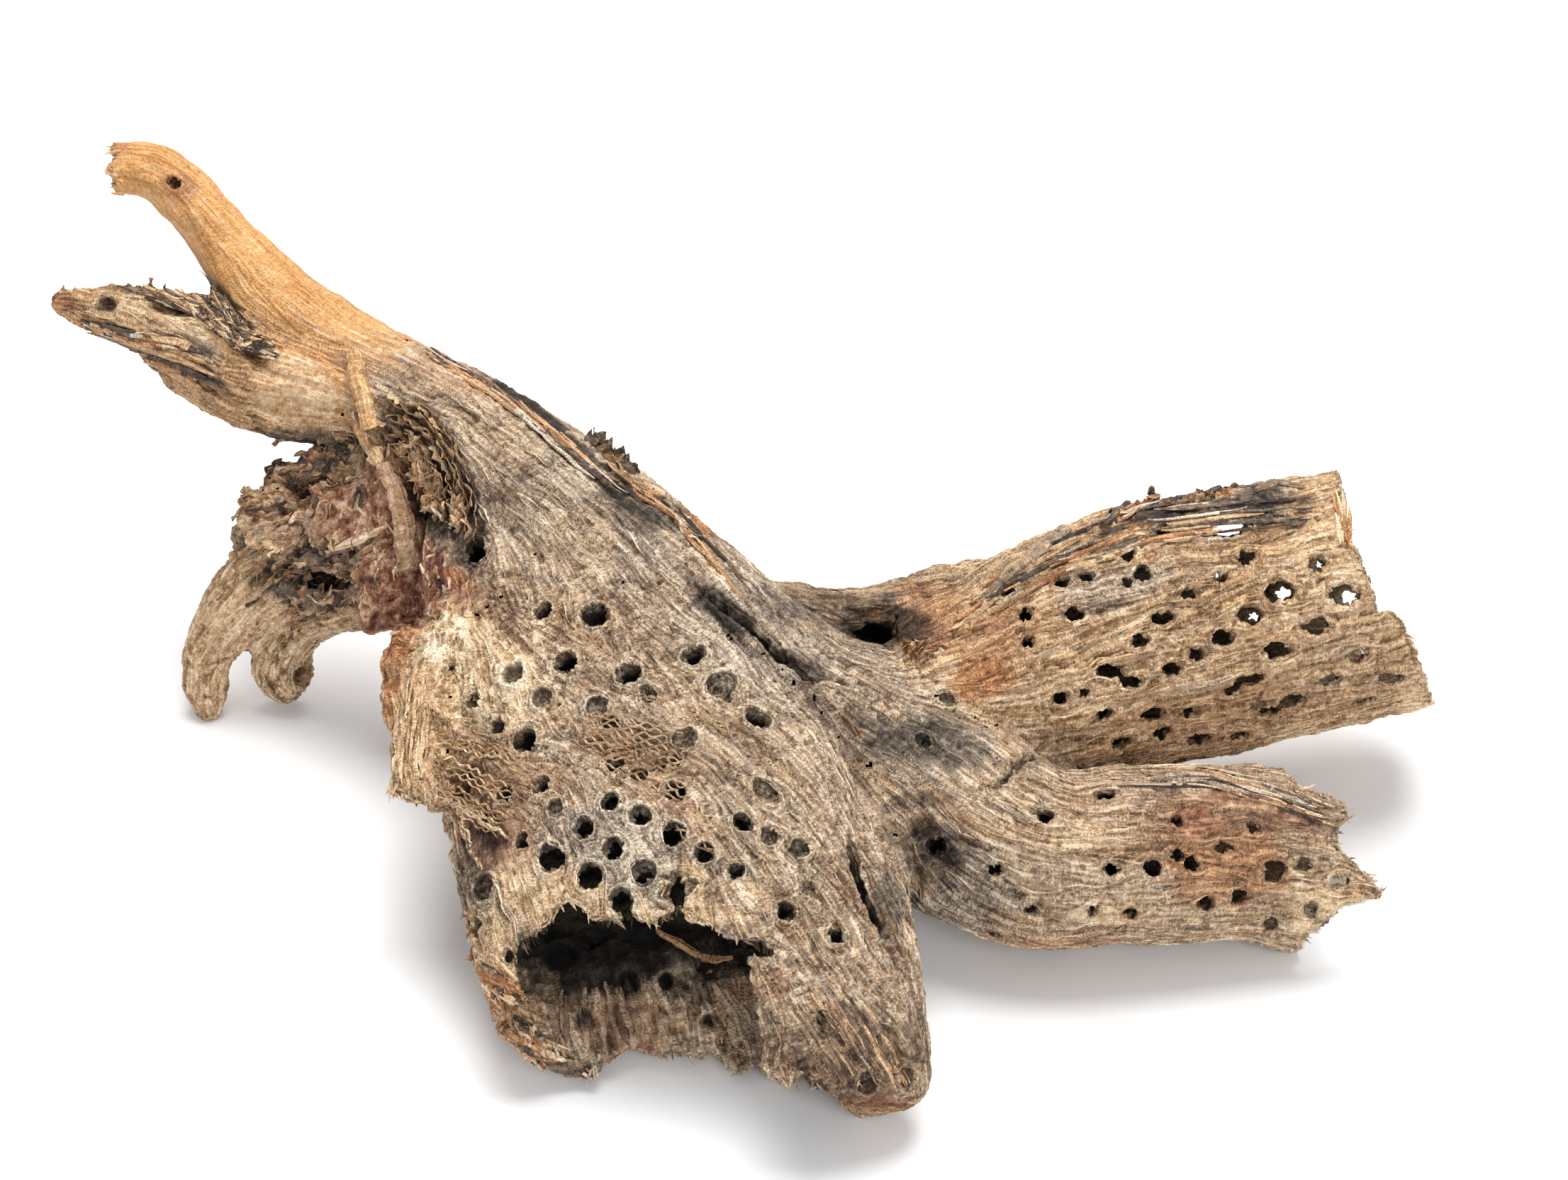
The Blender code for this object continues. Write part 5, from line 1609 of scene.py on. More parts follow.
# %% [markdown]
# ## Fibres that lift off the skin
# A strand starts somewhere on the outside and runs with the fibres until it meets a hole or its end. It is
# traced step by step: look up the direction at the nearest point, take a step, drop back onto the skin.

# %% Strands
STRAND_STEP = 1.9 * MM
STRAND_SEED = 11
STRANDS = {"fibres_front": 1500, "fibres_behind": 650}
STRAND_STEPS = (5, 13)
STRAND_RADIUS = (0.26, 0.52)
STRAND_SWAY = 0.5 * MM
STRAND_LIFT = 0.1 * MM
STRAND_SHORTEST = 4
# Where the skin is as smooth, purple, dark or lumpy as this, no fibre lifts off
BARE_STAINS_AND_SHADE = {"smooth": 0.4, "purple": 0.45, "dark": 0.6}
BARE_LUMPS = 0.3


def trace(number, steps, lift):
    """A row of places and normals that follows the fibres from a skin point."""
    place = Vector(points[number])
    path, ups, nears = [], [], []
    for _ in range(steps):
        if outer[number] < 0.5:
            break
        up = Vector(normals[number])
        path.append(place + up * lift)
        ups.append(up)
        nears.append(number)
        place = place + Vector(flow[number]) * STRAND_STEP
        place = skin_tree.find_nearest(place)[0]
        number = nearest(place)
    return path, ups, nears


def add_strand(bundle, number, steps, thick):
    path, ups, nears = trace(number, steps, STRAND_LIFT)
    if len(path) < STRAND_SHORTEST:
        return
    draw = bundle.draw
    count = len(path) - 1
    radii = [thick * max(math.sin(math.pi * (i + 0.3) / (count + 0.6)) ** 0.6, 0.15)
             for i in range(count + 1)]
    sway = draw.uniform(0, 6.3)
    for i in range(count + 1):
        side = Vector(flow[nears[i]]).cross(ups[i])
        path[i] = path[i] + side * (STRAND_SWAY * math.sin(sway + i * 0.9))
    path[0] = path[0] - ups[0] * thick
    path[-1] = path[-1] - ups[-1] * thick * draw.choice((1.0, -0.6))
    bundle.set_tint({"keep": 1.0})
    bundle.tube(path, ups, radii, nears)


def make_strands():
    toward_eye = normals @ np.array(AWAY) < 0.1
    bare = lumpy_share > BARE_LUMPS
    for name, most in BARE_STAINS_AND_SHADE.items():
        bare |= stains_and_painted_light[name] > most
    for name, count in STRANDS.items():
        bundle = Bundle(name, STRAND_SEED)
        wanted = toward_eye if name == "fibres_front" else ~toward_eye
        numbers = np.flatnonzero(wanted & (outer > 0.8) & ~bare)
        for _ in range(count):
            number = int(numbers[bundle.draw.randrange(len(numbers))])
            add_strand(bundle, number, bundle.draw.randint(*STRAND_STEPS),
                       bundle.draw.uniform(*STRAND_RADIUS) * MM)
        bundle.make()


make_strands()

# %% [markdown]
# ## Lace
# On the front limb the soft tissue is gone and a net of fibres stays. Neighbour fibres touch, part and touch
# again. So the strands here start side by side, and each sways against its neighbours: where one bends left
# the next bends right, and the gaps between them are the lens-shaped cells of the net.

# %% Net of fibres
# Where each net starts and ends along its upstream edge, how many strands it has, how many steps they run,
# and the way they run in degrees below the horizontal
LACE = (
    ((608, 1000), (616, 1148), 27, 62, 20), ((636, 1136), (664, 1200), 13, 32, 34),
    ((812, 1000), (818, 1100), 19, 66, 22), ((690, 985), (740, 1010), 9, 34, 40),
    ((900, 975), (960, 985), 10, 44, 44), ((960, 1120), (950, 1170), 9, 40, 40),
)
LACE_STEP = 0.65 * MM
LACE_HALF_CELL = 4.6
LACE_SWAY = 0.68 * MM
LACE_RADIUS = (0.30, 0.52)
LACE_LIFT = -0.45 * MM
LACE_FADE = 1.3 * MM
LACE_SKIP = 0.06
# Bends that neighbour strands share, so that the cells differ but still touch: how far and how wide
LACE_BENDS = ((1.5, 9.0), (0.9, 3.6))
LACE_UNEVEN = 1.1
LACE_UNEVEN_WIDTH = 5
LACE_UNEVEN_SHIFT = 9.3
LACE_SHORTEST = 10
LACE_TAPER = 4
LACE_CUT_SHORT = 14
LACE_DEEPEST = 4.5 * MM
LACE_TINTS = ({"pale": 0.45}, {"rust": 0.35, "pale": 0.35}, {"pale": 0.25, "rust": 0.2}, {"pale": 0.6})


def lay_lace_strand(bundle, start, strand, steps, slope):
    """One strand over the smooth old surface, which the eaten wood now lies below."""
    place, up, _ = start
    path, ups, nears = [], [], []
    slope = math.radians(slope)
    lean = RIGHT * math.cos(slope) - UP * math.sin(slope)
    for i in range(steps):
        number = nearest(place)
        if sunk[number] > LACE_DEEPEST:
            break
        way = (lean - up * lean.dot(up)).normalized()
        path.append(place + up * LACE_LIFT)
        ups.append(up)
        nears.append(number)
        place, up, _, _ = whole.find_nearest(place + way * LACE_STEP)
    if len(path) < LACE_SHORTEST:
        return
    spots = np.array(path) / MM
    bends = sum(far * smooth_noise(spots / wide) for far, wide in LACE_BENDS)
    uneven = LACE_UNEVEN * smooth_noise(spots / LACE_UNEVEN_WIDTH + LACE_UNEVEN_SHIFT)
    for i, up in enumerate(ups):
        phase = math.pi * (i / LACE_HALF_CELL + strand) + uneven[i]
        fade = max(0.0, 1 - min(i, len(path) - 1 - i) / LACE_TAPER)
        path[i] += up.cross(lean) * (bends[i] * MM + math.sin(phase) * LACE_SWAY) - up * LACE_FADE * fade
    thick = bundle.draw.uniform(*LACE_RADIUS) * MM
    bundle.tube(path, ups, [thick * bundle.draw.uniform(0.8, 1.3) for _ in path], nears)


def make_lace():
    bundle = Bundle("fibre_net", STRAND_SEED + 1)
    for first, last, count, steps, slope in LACE:
        for strand in range(count):
            start = on_wood(whole, *point_on((first, last), strand / (count - 1)))
            if start[0] is not None and bundle.draw.random() > LACE_SKIP:
                bundle.set_tint(bundle.draw.choice(LACE_TINTS))
                lay_lace_strand(bundle, start, strand, steps - bundle.draw.randrange(LACE_CUT_SHORT), slope)
    bundle.make()


make_lace()

# %% [markdown]
# ## Peeling strips
# Along the top of the trunk, in the broken prong and on the high tube the wood comes off in long thin strips
# that lie side by side like the leaves of a book. Each family of strips fills the space between two lines,
# and each strip covers a random part of the way with its ends lifted.

# %% Strips between two lines
BROWN = {"rust": 0.35, "dark": 0.25}
BLACK = {"dark": 0.85}
TAN = {"pale": 0.15}
CREAM = {"pale": 0.8}
ORANGE = {"rust": 0.85}
SILVER = {"grey": 0.9}
INSIDE = {"keep": 1.0, "dark": 0.25, "rust": 0.2}
# Name, the two lines, how many strips, their length and half width in mm, how far the ends lift, their tints
PEELINGS = (
    ("trunk_strips", ((600, 484), (700, 540), (800, 620), (905, 708)),
     ((596, 500), (700, 562), (795, 642), (890, 724)), 46, (10, 40), (0.5, 1.2), 1.2,
     (BLACK, BLACK, BROWN, ORANGE, SILVER)),
    ("ridge_strips", ((842, 642), (892, 676), (946, 702), (990, 748), (1075, 842)),
     ((850, 664), (890, 696), (936, 722), (985, 772), (1060, 862)), 30, (8, 26), (0.6, 1.3), 1.8,
     (ORANGE, BROWN, BLACK, SILVER)),
    ("prong_strips", ((392, 512), (330, 488), (268, 440), (160, 405)),
     ((396, 496), (350, 466), (312, 420), (276, 362)), 120, (10, 28), (0.6, 1.3), 4.2,
     (BLACK, BLACK, BLACK, BROWN, BROWN, TAN, CREAM)),
    ("prong_plates", ((110, 448), (180, 470), (250, 478), (300, 500)),
     ((118, 478), (190, 508), (260, 545), (322, 572)), 44, (10, 30), (0.8, 1.8), 1.0,
     (BROWN, BLACK, TAN, SILVER, ORANGE)),
    ("ear_grain", ((562, 950), (552, 1030), (552, 1112)), ((612, 950), (604, 1040), (600, 1124)), 34,
     (8, 24), (0.4, 0.8), 0.8, (CREAM, TAN, BROWN)),
    ("tube_strips", ((1340, 866), (1420, 800), (1510, 750), (1620, 704), (1740, 690), (1860, 690)),
     ((1340, 900), (1420, 850), (1520, 800), (1620, 770), (1740, 752), (1860, 740)), 60, (8, 34),
     (0.6, 1.4), 1.6, (BLACK, BROWN, SILVER, ORANGE, BLACK)),
    ("lip_bands", ((660, 1335), (700, 1352), (742, 1392)), ((720, 1474), (770, 1506), (828, 1520)), 44,
     (7, 20), (0.8, 1.8), 1.0, (BROWN, ORANGE, CREAM, BLACK)),
    ("hollow_ribs", ((790, 1385), (785, 1430), (800, 1500)), ((1010, 1372), (1056, 1430), (1080, 1505)),
     30, (8, 26), (0.8, 2.0), 0.1,
     (INSIDE, INSIDE, {"keep": 1.0, "dark": 0.5}, {"keep": 1.0, "purple": 0.4})),
    ("foot_strips", ((1090, 1400), (1130, 1460), (1190, 1540)), ((1200, 1380), (1250, 1460), (1300, 1560)),
     40, (10, 30), (0.4, 0.9), 0.8, ({"keep": 1.0}, {"keep": 1.0, "dark": 0.3}, BROWN)),
    ("end_grain", ((1876, 690), (1886, 740), (1892, 775)), ((1900, 690), (1906, 740), (1910, 775)), 16,
     (4, 12), (0.5, 1.0), 0.8, (ORANGE, CREAM, TAN)),
    ("low_strips", ((1560, 1080), (1700, 1078), (1800, 1100), (1890, 1140)),
     ((1560, 1110), (1700, 1110), (1800, 1140), (1890, 1170)), 44, (10, 30), (0.5, 1.1), 1.2,
     (BROWN, {"keep": 1.0}, BLACK, SILVER)),
)
IN_THE_OPEN_END = ("hollow_ribs", "lip_bands", "foot_strips")
PEEL_SEED = 57
PEEL_STEP = 1.6
PEEL_SIDES = 5
PEEL_FLAT = 0.45
PEEL_SWAY = 0.35
PEEL_SHAPE = (0.4, 1.0, 1.0, 0.25)
PEEL_UNEVEN = (0.85, 1.15)
PEEL_LEAP = 4


def lay_strip(bundle, surface, line, halves, lift, flat, sides):
    """A flattened stick along a line in the picture. Its half widths run along it, and its ends lift."""
    length = sum(math.hypot(b[0] - a[0], b[1] - a[1]) for a, b in zip(line, line[1:]))
    count = max(3, round(length * PICTURE_STEP / MM / PEEL_STEP))
    sway = bundle.draw.uniform(0, 6.3)
    path, ups, nears, radii = [], [], [], []
    for i in range(count + 1):
        part = i / count
        place, up, _ = on_wood(surface, *point_on(line, part))
        if place is None or (path and (place - path[-1]).length > PEEL_LEAP * PEEL_STEP * MM + lift * MM):
            break
        half = point_on([(half, 0) for half in halves], part)[0] * bundle.draw.uniform(*PEEL_UNEVEN)
        raised = lift * abs(2 * part - 1) ** 4 + half * flat * 0.4
        ups.append(up)
        path.append(place + up * raised * MM + RIGHT * PEEL_SWAY * MM * math.sin(sway + i * 0.8))
        nears.append(nearest(place))
        radii.append(half * MM)
    if len(path) > 3:
        path = [path[0]] + [(a + b * 2 + c) / 4 for a, b, c in zip(path, path[1:], path[2:])] + [path[-1]]
        ups = [ups[0]] + [(a + b + c).normalized() for a, b, c in zip(ups, ups[1:], ups[2:])] + [ups[-1]]
        bundle.tube(path, ups, radii, nears, sides, flat)


def make_peelings():
    for name, first, last, count, lengths, widths, lift, tints in PEELINGS:
        bundle = Bundle(name, PEEL_SEED + len(name))
        draw = bundle.draw
        for _ in range(count):
            share = draw.random()
            line = [(a[0] + (b[0] - a[0]) * share, a[1] + (b[1] - a[1]) * share)
                    for a, b in zip(first, last)]
            whole_length = sum(math.hypot(b[0] - a[0], b[1] - a[1]) for a, b in zip(line, line[1:]))
            part = min(draw.uniform(*lengths) * MM / PICTURE_STEP / whole_length, 1.0)
            start = draw.uniform(0, 1 - part)
            run = [point_on(line, start + part * k / 6) for k in range(7)]
            half = draw.uniform(*widths)
            bundle.set_tint(draw.choice(tints))
            surface = skin_tree if name in IN_THE_OPEN_END else whole
            halves = [half * grow for grow in PEEL_SHAPE]
            lay_strip(bundle, surface, run, halves, lift * draw.random(), PEEL_FLAT, PEEL_SIDES)
        bundle.make()


make_peelings()

# %% [markdown]
# ## Sticks one by one
# A few strips are too large and too easy to see to be left to chance: the twig that hangs from the trunk, the
# crusted stem below it, the curled rims of the bark plates and the strip that hangs in the open end.

# %% Single sticks
# The line, half widths along it, lift, flatness, tint
STICKS = (
    (((500, 500), (505, 530), (513, 568), (522, 600)), (2.6, 3.4, 3.0, 3.2), 0.6, 0.8,
     {"pale": 0.3, "smooth": 0.7}),
    (((514, 600), (524, 628), (536, 652), (545, 672)), (3.4, 3.2, 2.0, 0.6), 1.0, 0.8,
     {"pale": 0.35, "smooth": 0.6}),
    (((540, 655), (555, 690), (567, 732), (575, 772), (580, 806)), (2.6, 4.0, 4.4, 4.4, 3.6), 0.6, 0.6,
     {"purple": 0.5, "pale": 0.25, "grey": 0.2}),
    (((556, 742), (561, 770), (566, 800)), (0.8, 1.0, 0.6), 3.4, 0.6, CREAM),
    (((464, 776), (486, 768), (506, 762), (526, 752), (546, 741)), (0.7, 1.6, 1.8, 1.4, 0.6), 1.0, 0.5,
     CREAM),
    (((490, 800), (500, 788), (520, 774), (546, 760)), (0.6, 1.2, 1.3, 0.6), 1.0, 0.5, BROWN),
    (((505, 892), (540, 888), (590, 874), (650, 858)), (0.8, 1.4, 1.2, 0.6), 0.6, 0.5,
     {"pale": 0.4, "purple": 0.3}),
    # Painted light on this strip, so that the painted shade of the hollow it hangs in does not darken it
    (((925, 1312), (955, 1330), (987, 1349), (1012, 1355), (1034, 1349)), (0.6, 1.6, 1.5, 1.5, 0.6), 3.0,
     0.5, {"rust": 0.6, "purple": 0.3, "lit": 1.0}),
    (((1380, 850), (1430, 806), (1480, 766), (1506, 750)), (1.0, 3.0, 3.2, 2.6), 0.0, 0.6,
     {"dark": 0.5, "grey": 0.5}),
    (((1570, 734), (1600, 714), (1630, 700)), (0.8, 2.0, 1.0), 1.5, 0.7, ORANGE),
    (((1630, 706), (1660, 694), (1690, 692)), (1.0, 1.8, 0.8), 2.0, 0.7, {"pale": 0.5, "rust": 0.4}),
    (((1560, 748), (1580, 724), (1592, 712)), (1.6, 2.2, 1.0), 2.5, 0.8, BLACK),
    (((1700, 700), (1740, 682), (1770, 690)), (1.0, 2.6, 1.6), 1.0, 0.7, BLACK),
    (((1770, 694), (1800, 682), (1840, 690)), (1.0, 2.4, 1.4), 0.6, 0.7, {"dark": 0.5, "grey": 0.4}),
    (((330, 600), (400, 626), (470, 640), (540, 632)), (0.8, 1.4, 1.4, 0.8), 0.6, 0.5, BROWN),
    (((286, 392), (296, 425), (312, 456), (330, 484), (372, 502)), (0.8, 1.6, 1.8, 1.6, 0.8), 1.6, 0.5,
     CREAM),
    (((130, 456), (190, 470), (250, 482), (300, 512)), (0.8, 1.4, 1.4, 0.8), 0.6, 0.4, TAN),
    (((232, 520), (262, 536), (300, 566)), (1.0, 2.2, 1.2), 0.6, 0.6, BROWN),
)
STICK_SIDES = 8


def make_sticks():
    bundle = Bundle("single_sticks", PEEL_SEED)
    for line, halves, lift, flat, tint in STICKS:
        bundle.set_tint(tint)
        bundle.shape_tone = LOOSE_FURROW
        lay_strip(bundle, skin_tree, line, halves, lift, flat, STICK_SIDES)
    bundle.make()


make_sticks()

# %% [markdown]
# ## Flakes and the papery nest
# The root is a mat of bark flakes, and a nest of papery sheets lies under the trunk. Both are thin sheets
# that stand on their root and curl. What differs is where they stand and how far they curl.

# %% Sheets along lines
# Name, line in the picture, spread to each side, count, length, height, curl, tints
LAYERS = (
    ("bark_tuft", ((832, 618), (852, 632), (872, 648), (888, 664)), 6, 26, (4, 8), (3, 7), (-0.5, 0.5),
     (BLACK, BROWN)),
    ("root_flakes", ((350, 690), (420, 700), (500, 660), (540, 620), (420, 640), (360, 720)), 40, 120,
     (5, 13), (2.0, 5.0), (-1.2, 1.2), (BLACK, BROWN, {"purple": 0.6}, {"purple": 0.4, "pale": 0.4})),
    ("root_scraps", ((340, 780), (400, 790), (470, 780), (500, 830), (430, 850), (380, 830)), 34, 90,
     (4, 9), (2.0, 5.0), (-1.2, 1.2), (BLACK, BROWN, TAN, {"purple": 0.5})),
    ("purple_scales", ((540, 800), (600, 800), (610, 860), (560, 870), (520, 720), (480, 730)), 34, 90,
     (4, 9), (0.9, 2.2), (0.7, 1.8),
     ({"purple": 0.9}, {"purple": 0.6, "rust": 0.4}, {"purple": 0.5, "pale": 0.5}, BROWN)),
    ("tube_tufts", ((1560, 742), (1600, 715), (1640, 705), (1700, 700), (1760, 694)), 10, 34, (4, 8),
     (1.5, 4.0), (-0.5, 0.5), (BLACK, BROWN, ORANGE)),
    ("saddle_splinters", ((1284, 908), (1300, 912), (1330, 918)), 6, 16, (4, 9), (1.5, 3.5), (-0.5, 0.5),
     (ORANGE, CREAM, BROWN)),
    ("pith_crumbs", ((604, 880), (636, 900), (640, 930), (660, 985), (720, 990)), 16, 80, (1.5, 3.5),
     (1.0, 2.2), (-1.6, 1.6), (CREAM, CREAM, TAN)),
    ("lip_flakes", ((650, 1300), (690, 1380), (740, 1460), (790, 1500)), 26, 60, (4, 9), (1.0, 2.4),
     (0.4, 1.4), (BROWN, CREAM, ORANGE, {"purple": 0.5})),
)
SHEET_SEED = 23
FLOW_SHARE = 0.75


def stand_sheet(bundle, start, along, length, height, curl, lean=0.5):
    place, normal, number = start
    out = (normal + random_way(bundle.draw) * lean).normalized()
    along = (along - out * along.dot(out)).normalized()
    bundle.sheet(place, along, out, length * MM, height * MM, curl, number)


def make_layers():
    for name, line, spread, count, lengths, heights, curls, tints in LAYERS:
        bundle = Bundle(name, SHEET_SEED + len(name))
        draw = bundle.draw
        for i in range(count):
            across, down = point_on(line, (i + draw.random()) / count)
            start = on_skin(across + draw.uniform(-spread, spread), down + draw.uniform(-spread, spread))
            if start is None:
                continue
            along = Vector(flow[start[2]]) * FLOW_SHARE + random_way(draw) * (1 - FLOW_SHARE)
            bundle.set_tint(draw.choice(tints))
            stand_sheet(bundle, start, along, draw.uniform(*lengths), draw.uniform(*heights),
                        draw.uniform(*curls))
        bundle.make()


make_layers()

# %% Papery nest
NEST_ARC = ((556, 560), (600, 580), (634, 618), (656, 668), (670, 720), (672, 775))
NEST_MIDDLE = (578, 716)
NEST_RINGS = 8
NEST_RING_STEP = 0.075
NEST_SHEET_STEP = 26
NEST_LENGTH = 260
NEST_TURN = 3
NEST_LEAN = 0.2
# Length, height and curl of the sheets, and of the loose petals inside them
NEST_SHEET = ((7, 11), (6, 9), (-0.3, 0.5))
NEST_PETAL = ((5, 9), (4, 8), (0.8, 2.2))
NEST_PETALS = 64
PETAL_LINE = ((590, 630), (612, 680), (640, 760))
PETAL_SPREAD = 5
PETAL_LEAN = 0.7
NEST_TINTS = (TAN, CREAM, CREAM, BROWN, {"rust": 0.5, "pale": 0.3}, {"purple": 0.4, "pale": 0.3})


def make_nest():
    bundle = Bundle("papery_nest", SHEET_SEED)
    draw = bundle.draw
    for ring in range(NEST_RINGS):
        grow = 1 - NEST_RING_STEP * ring
        line = [(NEST_MIDDLE[0] + (across - NEST_MIDDLE[0]) * grow,
                 NEST_MIDDLE[1] + (down - NEST_MIDDLE[1]) * grow)
                for across, down in NEST_ARC]
        count = round(NEST_LENGTH * grow / NEST_SHEET_STEP)
        for i in range(count):
            here = point_on(line, (i + 0.2 * draw.random()) / count)
            ahead = point_on(line, min((i + 1) / count, 1))
            start = on_skin(*here)
            if start is None:
                continue
            along = RIGHT * (ahead[0] - here[0]) - UP * (ahead[1] - here[1]) + random_way(draw) * NEST_TURN
            place, _, number = start
            out = (-AWAY + random_way(draw) * NEST_LEAN).normalized()
            along = (along - out * along.dot(out)).normalized()
            bundle.set_tint(draw.choice(NEST_TINTS))
            length, height, curl = (draw.uniform(*span) for span in NEST_SHEET)
            bundle.sheet(place, along, out, length * MM, height * MM, curl, number)
    for _ in range(NEST_PETALS):
        start = on_skin(*point_on(PETAL_LINE, draw.random()))
        if start is not None:
            bundle.set_tint(draw.choice(NEST_TINTS))
            start = (start[0] + random_way(draw) * PETAL_SPREAD * MM, start[1], start[2])
            way = random_way(draw)
            stand_sheet(bundle, start, way, *(draw.uniform(*span) for span in NEST_PETAL), PETAL_LEAN)
    bundle.make()


make_nest()

# %% [markdown]
# ## Torn edges
# Where the wood broke, fibres stick out past the edge. Short splinters are set along each broken outline and
# point the way the fibres run.

# %% Splinters at the breaks
# The outline, whether its fibres point out with the flow (1) or against it (-1), how many, and how long
TORN = (
    (RIM[1:17], 1, 110, (1.5, 4.5)), (BROKEN["front_end"][1][2:25], 1, 150, (1.5, 5.0)),
    (BROKEN["high_end"][1][1:12], 1, 90, (1.0, 3.0)), (BROKEN["low_end"][1][1:12], 1, 90, (1.5, 5.0)),
    (BROKEN["ear_end"][1][1:6], 1, 30, (1.5, 5.0)), (BROKEN["antler_end"][1][1:9], -1, 34, (1.5, 5.0)),
)
TORN_INSET = 6
TORN_TRIES = 4
TORN_SPREAD = 0.45
TORN_RAISE = 0.15
TORN_THICK = (0.35, 0.75)
# Where along its length a splinter has a station, and how thick it is there
TORN_STATIONS = ((-0.5, 1.0), (0.0, 1.0), (0.5, 0.7), (1.0, 0.15))


def make_torn_edges():
    bundle = Bundle("torn_fibres", SHEET_SEED + 2)
    draw = bundle.draw
    for outline, sign, count, lengths in TORN:
        for i in range(count):
            across, down = point_on(outline, (i + draw.random()) / count)
            start = None
            for inset in range(0, TORN_TRIES * TORN_INSET, TORN_INSET):
                start = start or on_skin(across + draw.uniform(-inset, inset),
                                         down + draw.uniform(-inset, inset))
            if start is None:
                continue
            place, normal, number = start
            way = Vector(flow[number]) * sign + random_way(draw) * TORN_SPREAD + normal * TORN_RAISE
            way.normalize()
            length = draw.uniform(*lengths) * MM
            thick = draw.uniform(*TORN_THICK) * MM
            path = [place + way * length * part for part, _ in TORN_STATIONS]
            bundle.set_tint({"keep": 1.0, "pale": 0.35})
            radii = [thick * grow for _, grow in TORN_STATIONS]
            bundle.tube(path, [normal] * len(path), radii, [number] * len(path))
    bundle.make()


make_torn_edges()

# %% [markdown]
# ## One skin in several pieces
# The skin has too many faces for one piece, so it is parted along the seams between limbs. Each piece keeps
# the shading of the whole skin at its edge, so that no seam shows.

# %% Part the skin
GROUPS = {
    "wood_trunk": ("trunk", "bark_rib", "back_saddle"),
    "wood_root": ("neck", "purple_stump", "root_roll", "root_crest", "root_mat", "left_stub", "claw_stub"),
    "wood_crown": ("antler", "left_prong"),
    "wood_high_limb": ("high_limb",),
    "wood_low_limb": ("low_limb",),
    "wood_front_limb": ("front_limb", "split_sliver"),
    "wood_ear": ("tan_stub", "brown_flake"),
}


def part_skin(wood):
    """Splits the skin into a piece for each group of limbs."""
    data = wood.data
    data.materials.clear()
    data.materials.append(wood_finish)
    data.shade_smooth()
    group_of_limb = {limb: number for number, limbs in enumerate(GROUPS.values()) for limb in limbs}
    limb_groups = np.array([group_of_limb[name] for name in limb_names])
    group_shares = np.stack([shares[:, limb_groups == number].sum(1) for number in range(len(GROUPS))], 1)
    corners = np.empty(len(data.loops), np.int64)
    data.loops.foreach_get("vertex_index", corners)
    starts = np.empty(len(data.polygons), np.int64)
    data.polygons.foreach_get("loop_start", starts)
    groups = group_shares[corners[starts]].argmax(1)
    data.normals_split_custom_set_from_vertices(list(read_normals(data)))
    for number, name in enumerate(GROUPS):
        piece = wood.copy()
        piece.data = data.copy()
        piece.name = name
        bpy.context.scene.collection.objects.link(piece)
        piece.data.polygons.foreach_set("select", groups != number)
        bpy.context.view_layer.objects.active = piece
        for other in bpy.context.selected_objects:
            other.select_set(False)
        piece.select_set(True)
        bpy.ops.object.mode_set(mode="EDIT")
        bpy.ops.mesh.delete(type="FACE")
        bpy.ops.object.mode_set(mode="OBJECT")
        pieces.append(piece)
        print(name, 2 * len(piece.data.polygons), "triangles")
    bpy.data.objects.remove(wood)


part_skin(wood)

# %% [markdown]
# ## Onto the solid
# Every piece is moved from where the front view placed it to where the solid stands, rides with the body and
# stands in for the solid.

# %% Move, ride and replace
for piece in pieces:
    piece.data.transform(Matrix.Translation(Vector(onto_solid)))
    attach(piece, BODY)
    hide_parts(NODE)
print(len(pieces), "pieces ride on", BODY)

# %% [markdown]
# ## A pale table and soft light
# The wood lies on white board under a big soft light, with more light bounced in from all round, so shadows
# are short, grey and soft. A hard lamp would show the grain better but throw black shadows on the board.

# %% Floor and light
FLOOR_SIZE = 6.0
FLOOR_GAP = 0.2 * MM


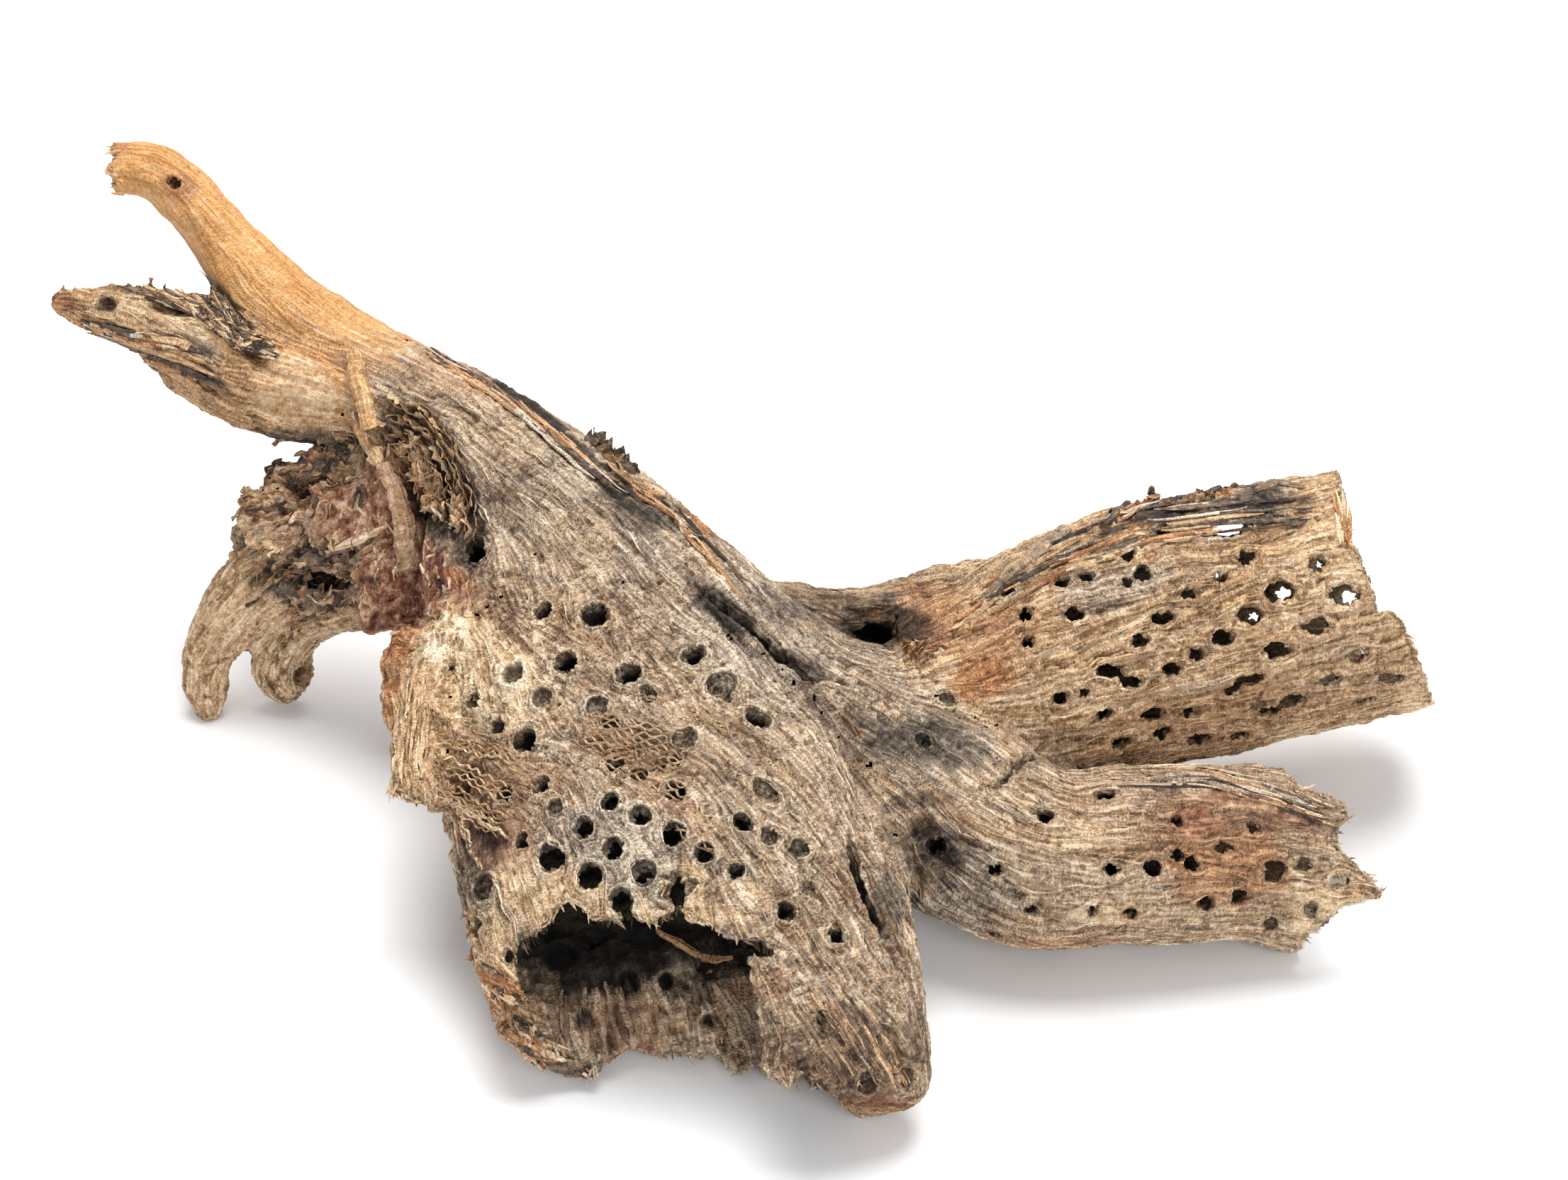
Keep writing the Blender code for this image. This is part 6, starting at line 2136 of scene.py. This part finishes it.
def make_floor():
    bpy.ops.mesh.primitive_plane_add(size=FLOOR_SIZE, location=(0, 0, -FLOOR_GAP))
    floor = bpy.context.active_object
    floor.name = "board"
    finish = Finish("white board")
    finish.surface.inputs["Base Color"].default_value = (0.93, 0.935, 0.945, 1)
    finish.surface.inputs["Roughness"].default_value = 0.9
    finish.surface.inputs["Specular IOR Level"].default_value = 0.1
    floor.data.materials.append(finish.material)


def add_light(name, place, size, power, colour):
    lamp = bpy.data.lights.new(name, "AREA")
    lamp.shape = "DISK"
    lamp.size = size
    lamp.energy = power
    lamp.color = colour
    holder = bpy.data.objects.new(name, lamp)
    bpy.context.scene.collection.objects.link(holder)
    holder.location = place
    holder.rotation_euler = (Vector((0, 0, 0.06)) - Vector(place)).to_track_quat("-Z", "Y").to_euler()


make_floor()
add_light("overhead", (0.1, 0.45, 1.7), 1.4, 40, (1.0, 0.99, 0.97))
add_light("front", (0.6, -1.6, 1.0), 1.0, 15, (1.0, 0.99, 0.98))
world = bpy.data.worlds.new("room")
bpy.context.scene.world = world
world.use_nodes = True
world.node_tree.nodes["Background"].inputs["Color"].default_value = (0.97, 0.98, 1.0, 1)
world.node_tree.nodes["Background"].inputs["Strength"].default_value = 0.53
bpy.context.scene.view_settings.view_transform = "Standard"

# %% [markdown]
# ## The camera
# It stands where the front view was read from: 1.1 m from the middle, looking 35 degrees down, with a lens
# that makes one step of the picture a quarter of a millimetre there.

# %% Camera
SENSOR = 36.0
PICTURE_WIDTH = 2212
camera = bpy.data.objects.new("camera", bpy.data.cameras.new("camera"))
bpy.context.scene.collection.objects.link(camera)
camera.data.sensor_width = SENSOR
camera.data.lens = SENSOR * EYE_DISTANCE / (PICTURE_WIDTH * PICTURE_STEP)
turned = Matrix((RIGHT, UP, -AWAY)).transposed()
camera.matrix_world = Matrix.Translation(EYE + Vector(onto_solid)) @ turned.to_4x4()
camera.data.clip_end = 20
bpy.context.scene.camera = camera
print("camera at", np.round(camera.location, 3), "lens", round(camera.data.lens, 1))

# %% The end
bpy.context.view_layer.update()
print("made in", round(time.time() - STARTED, 1), "s")
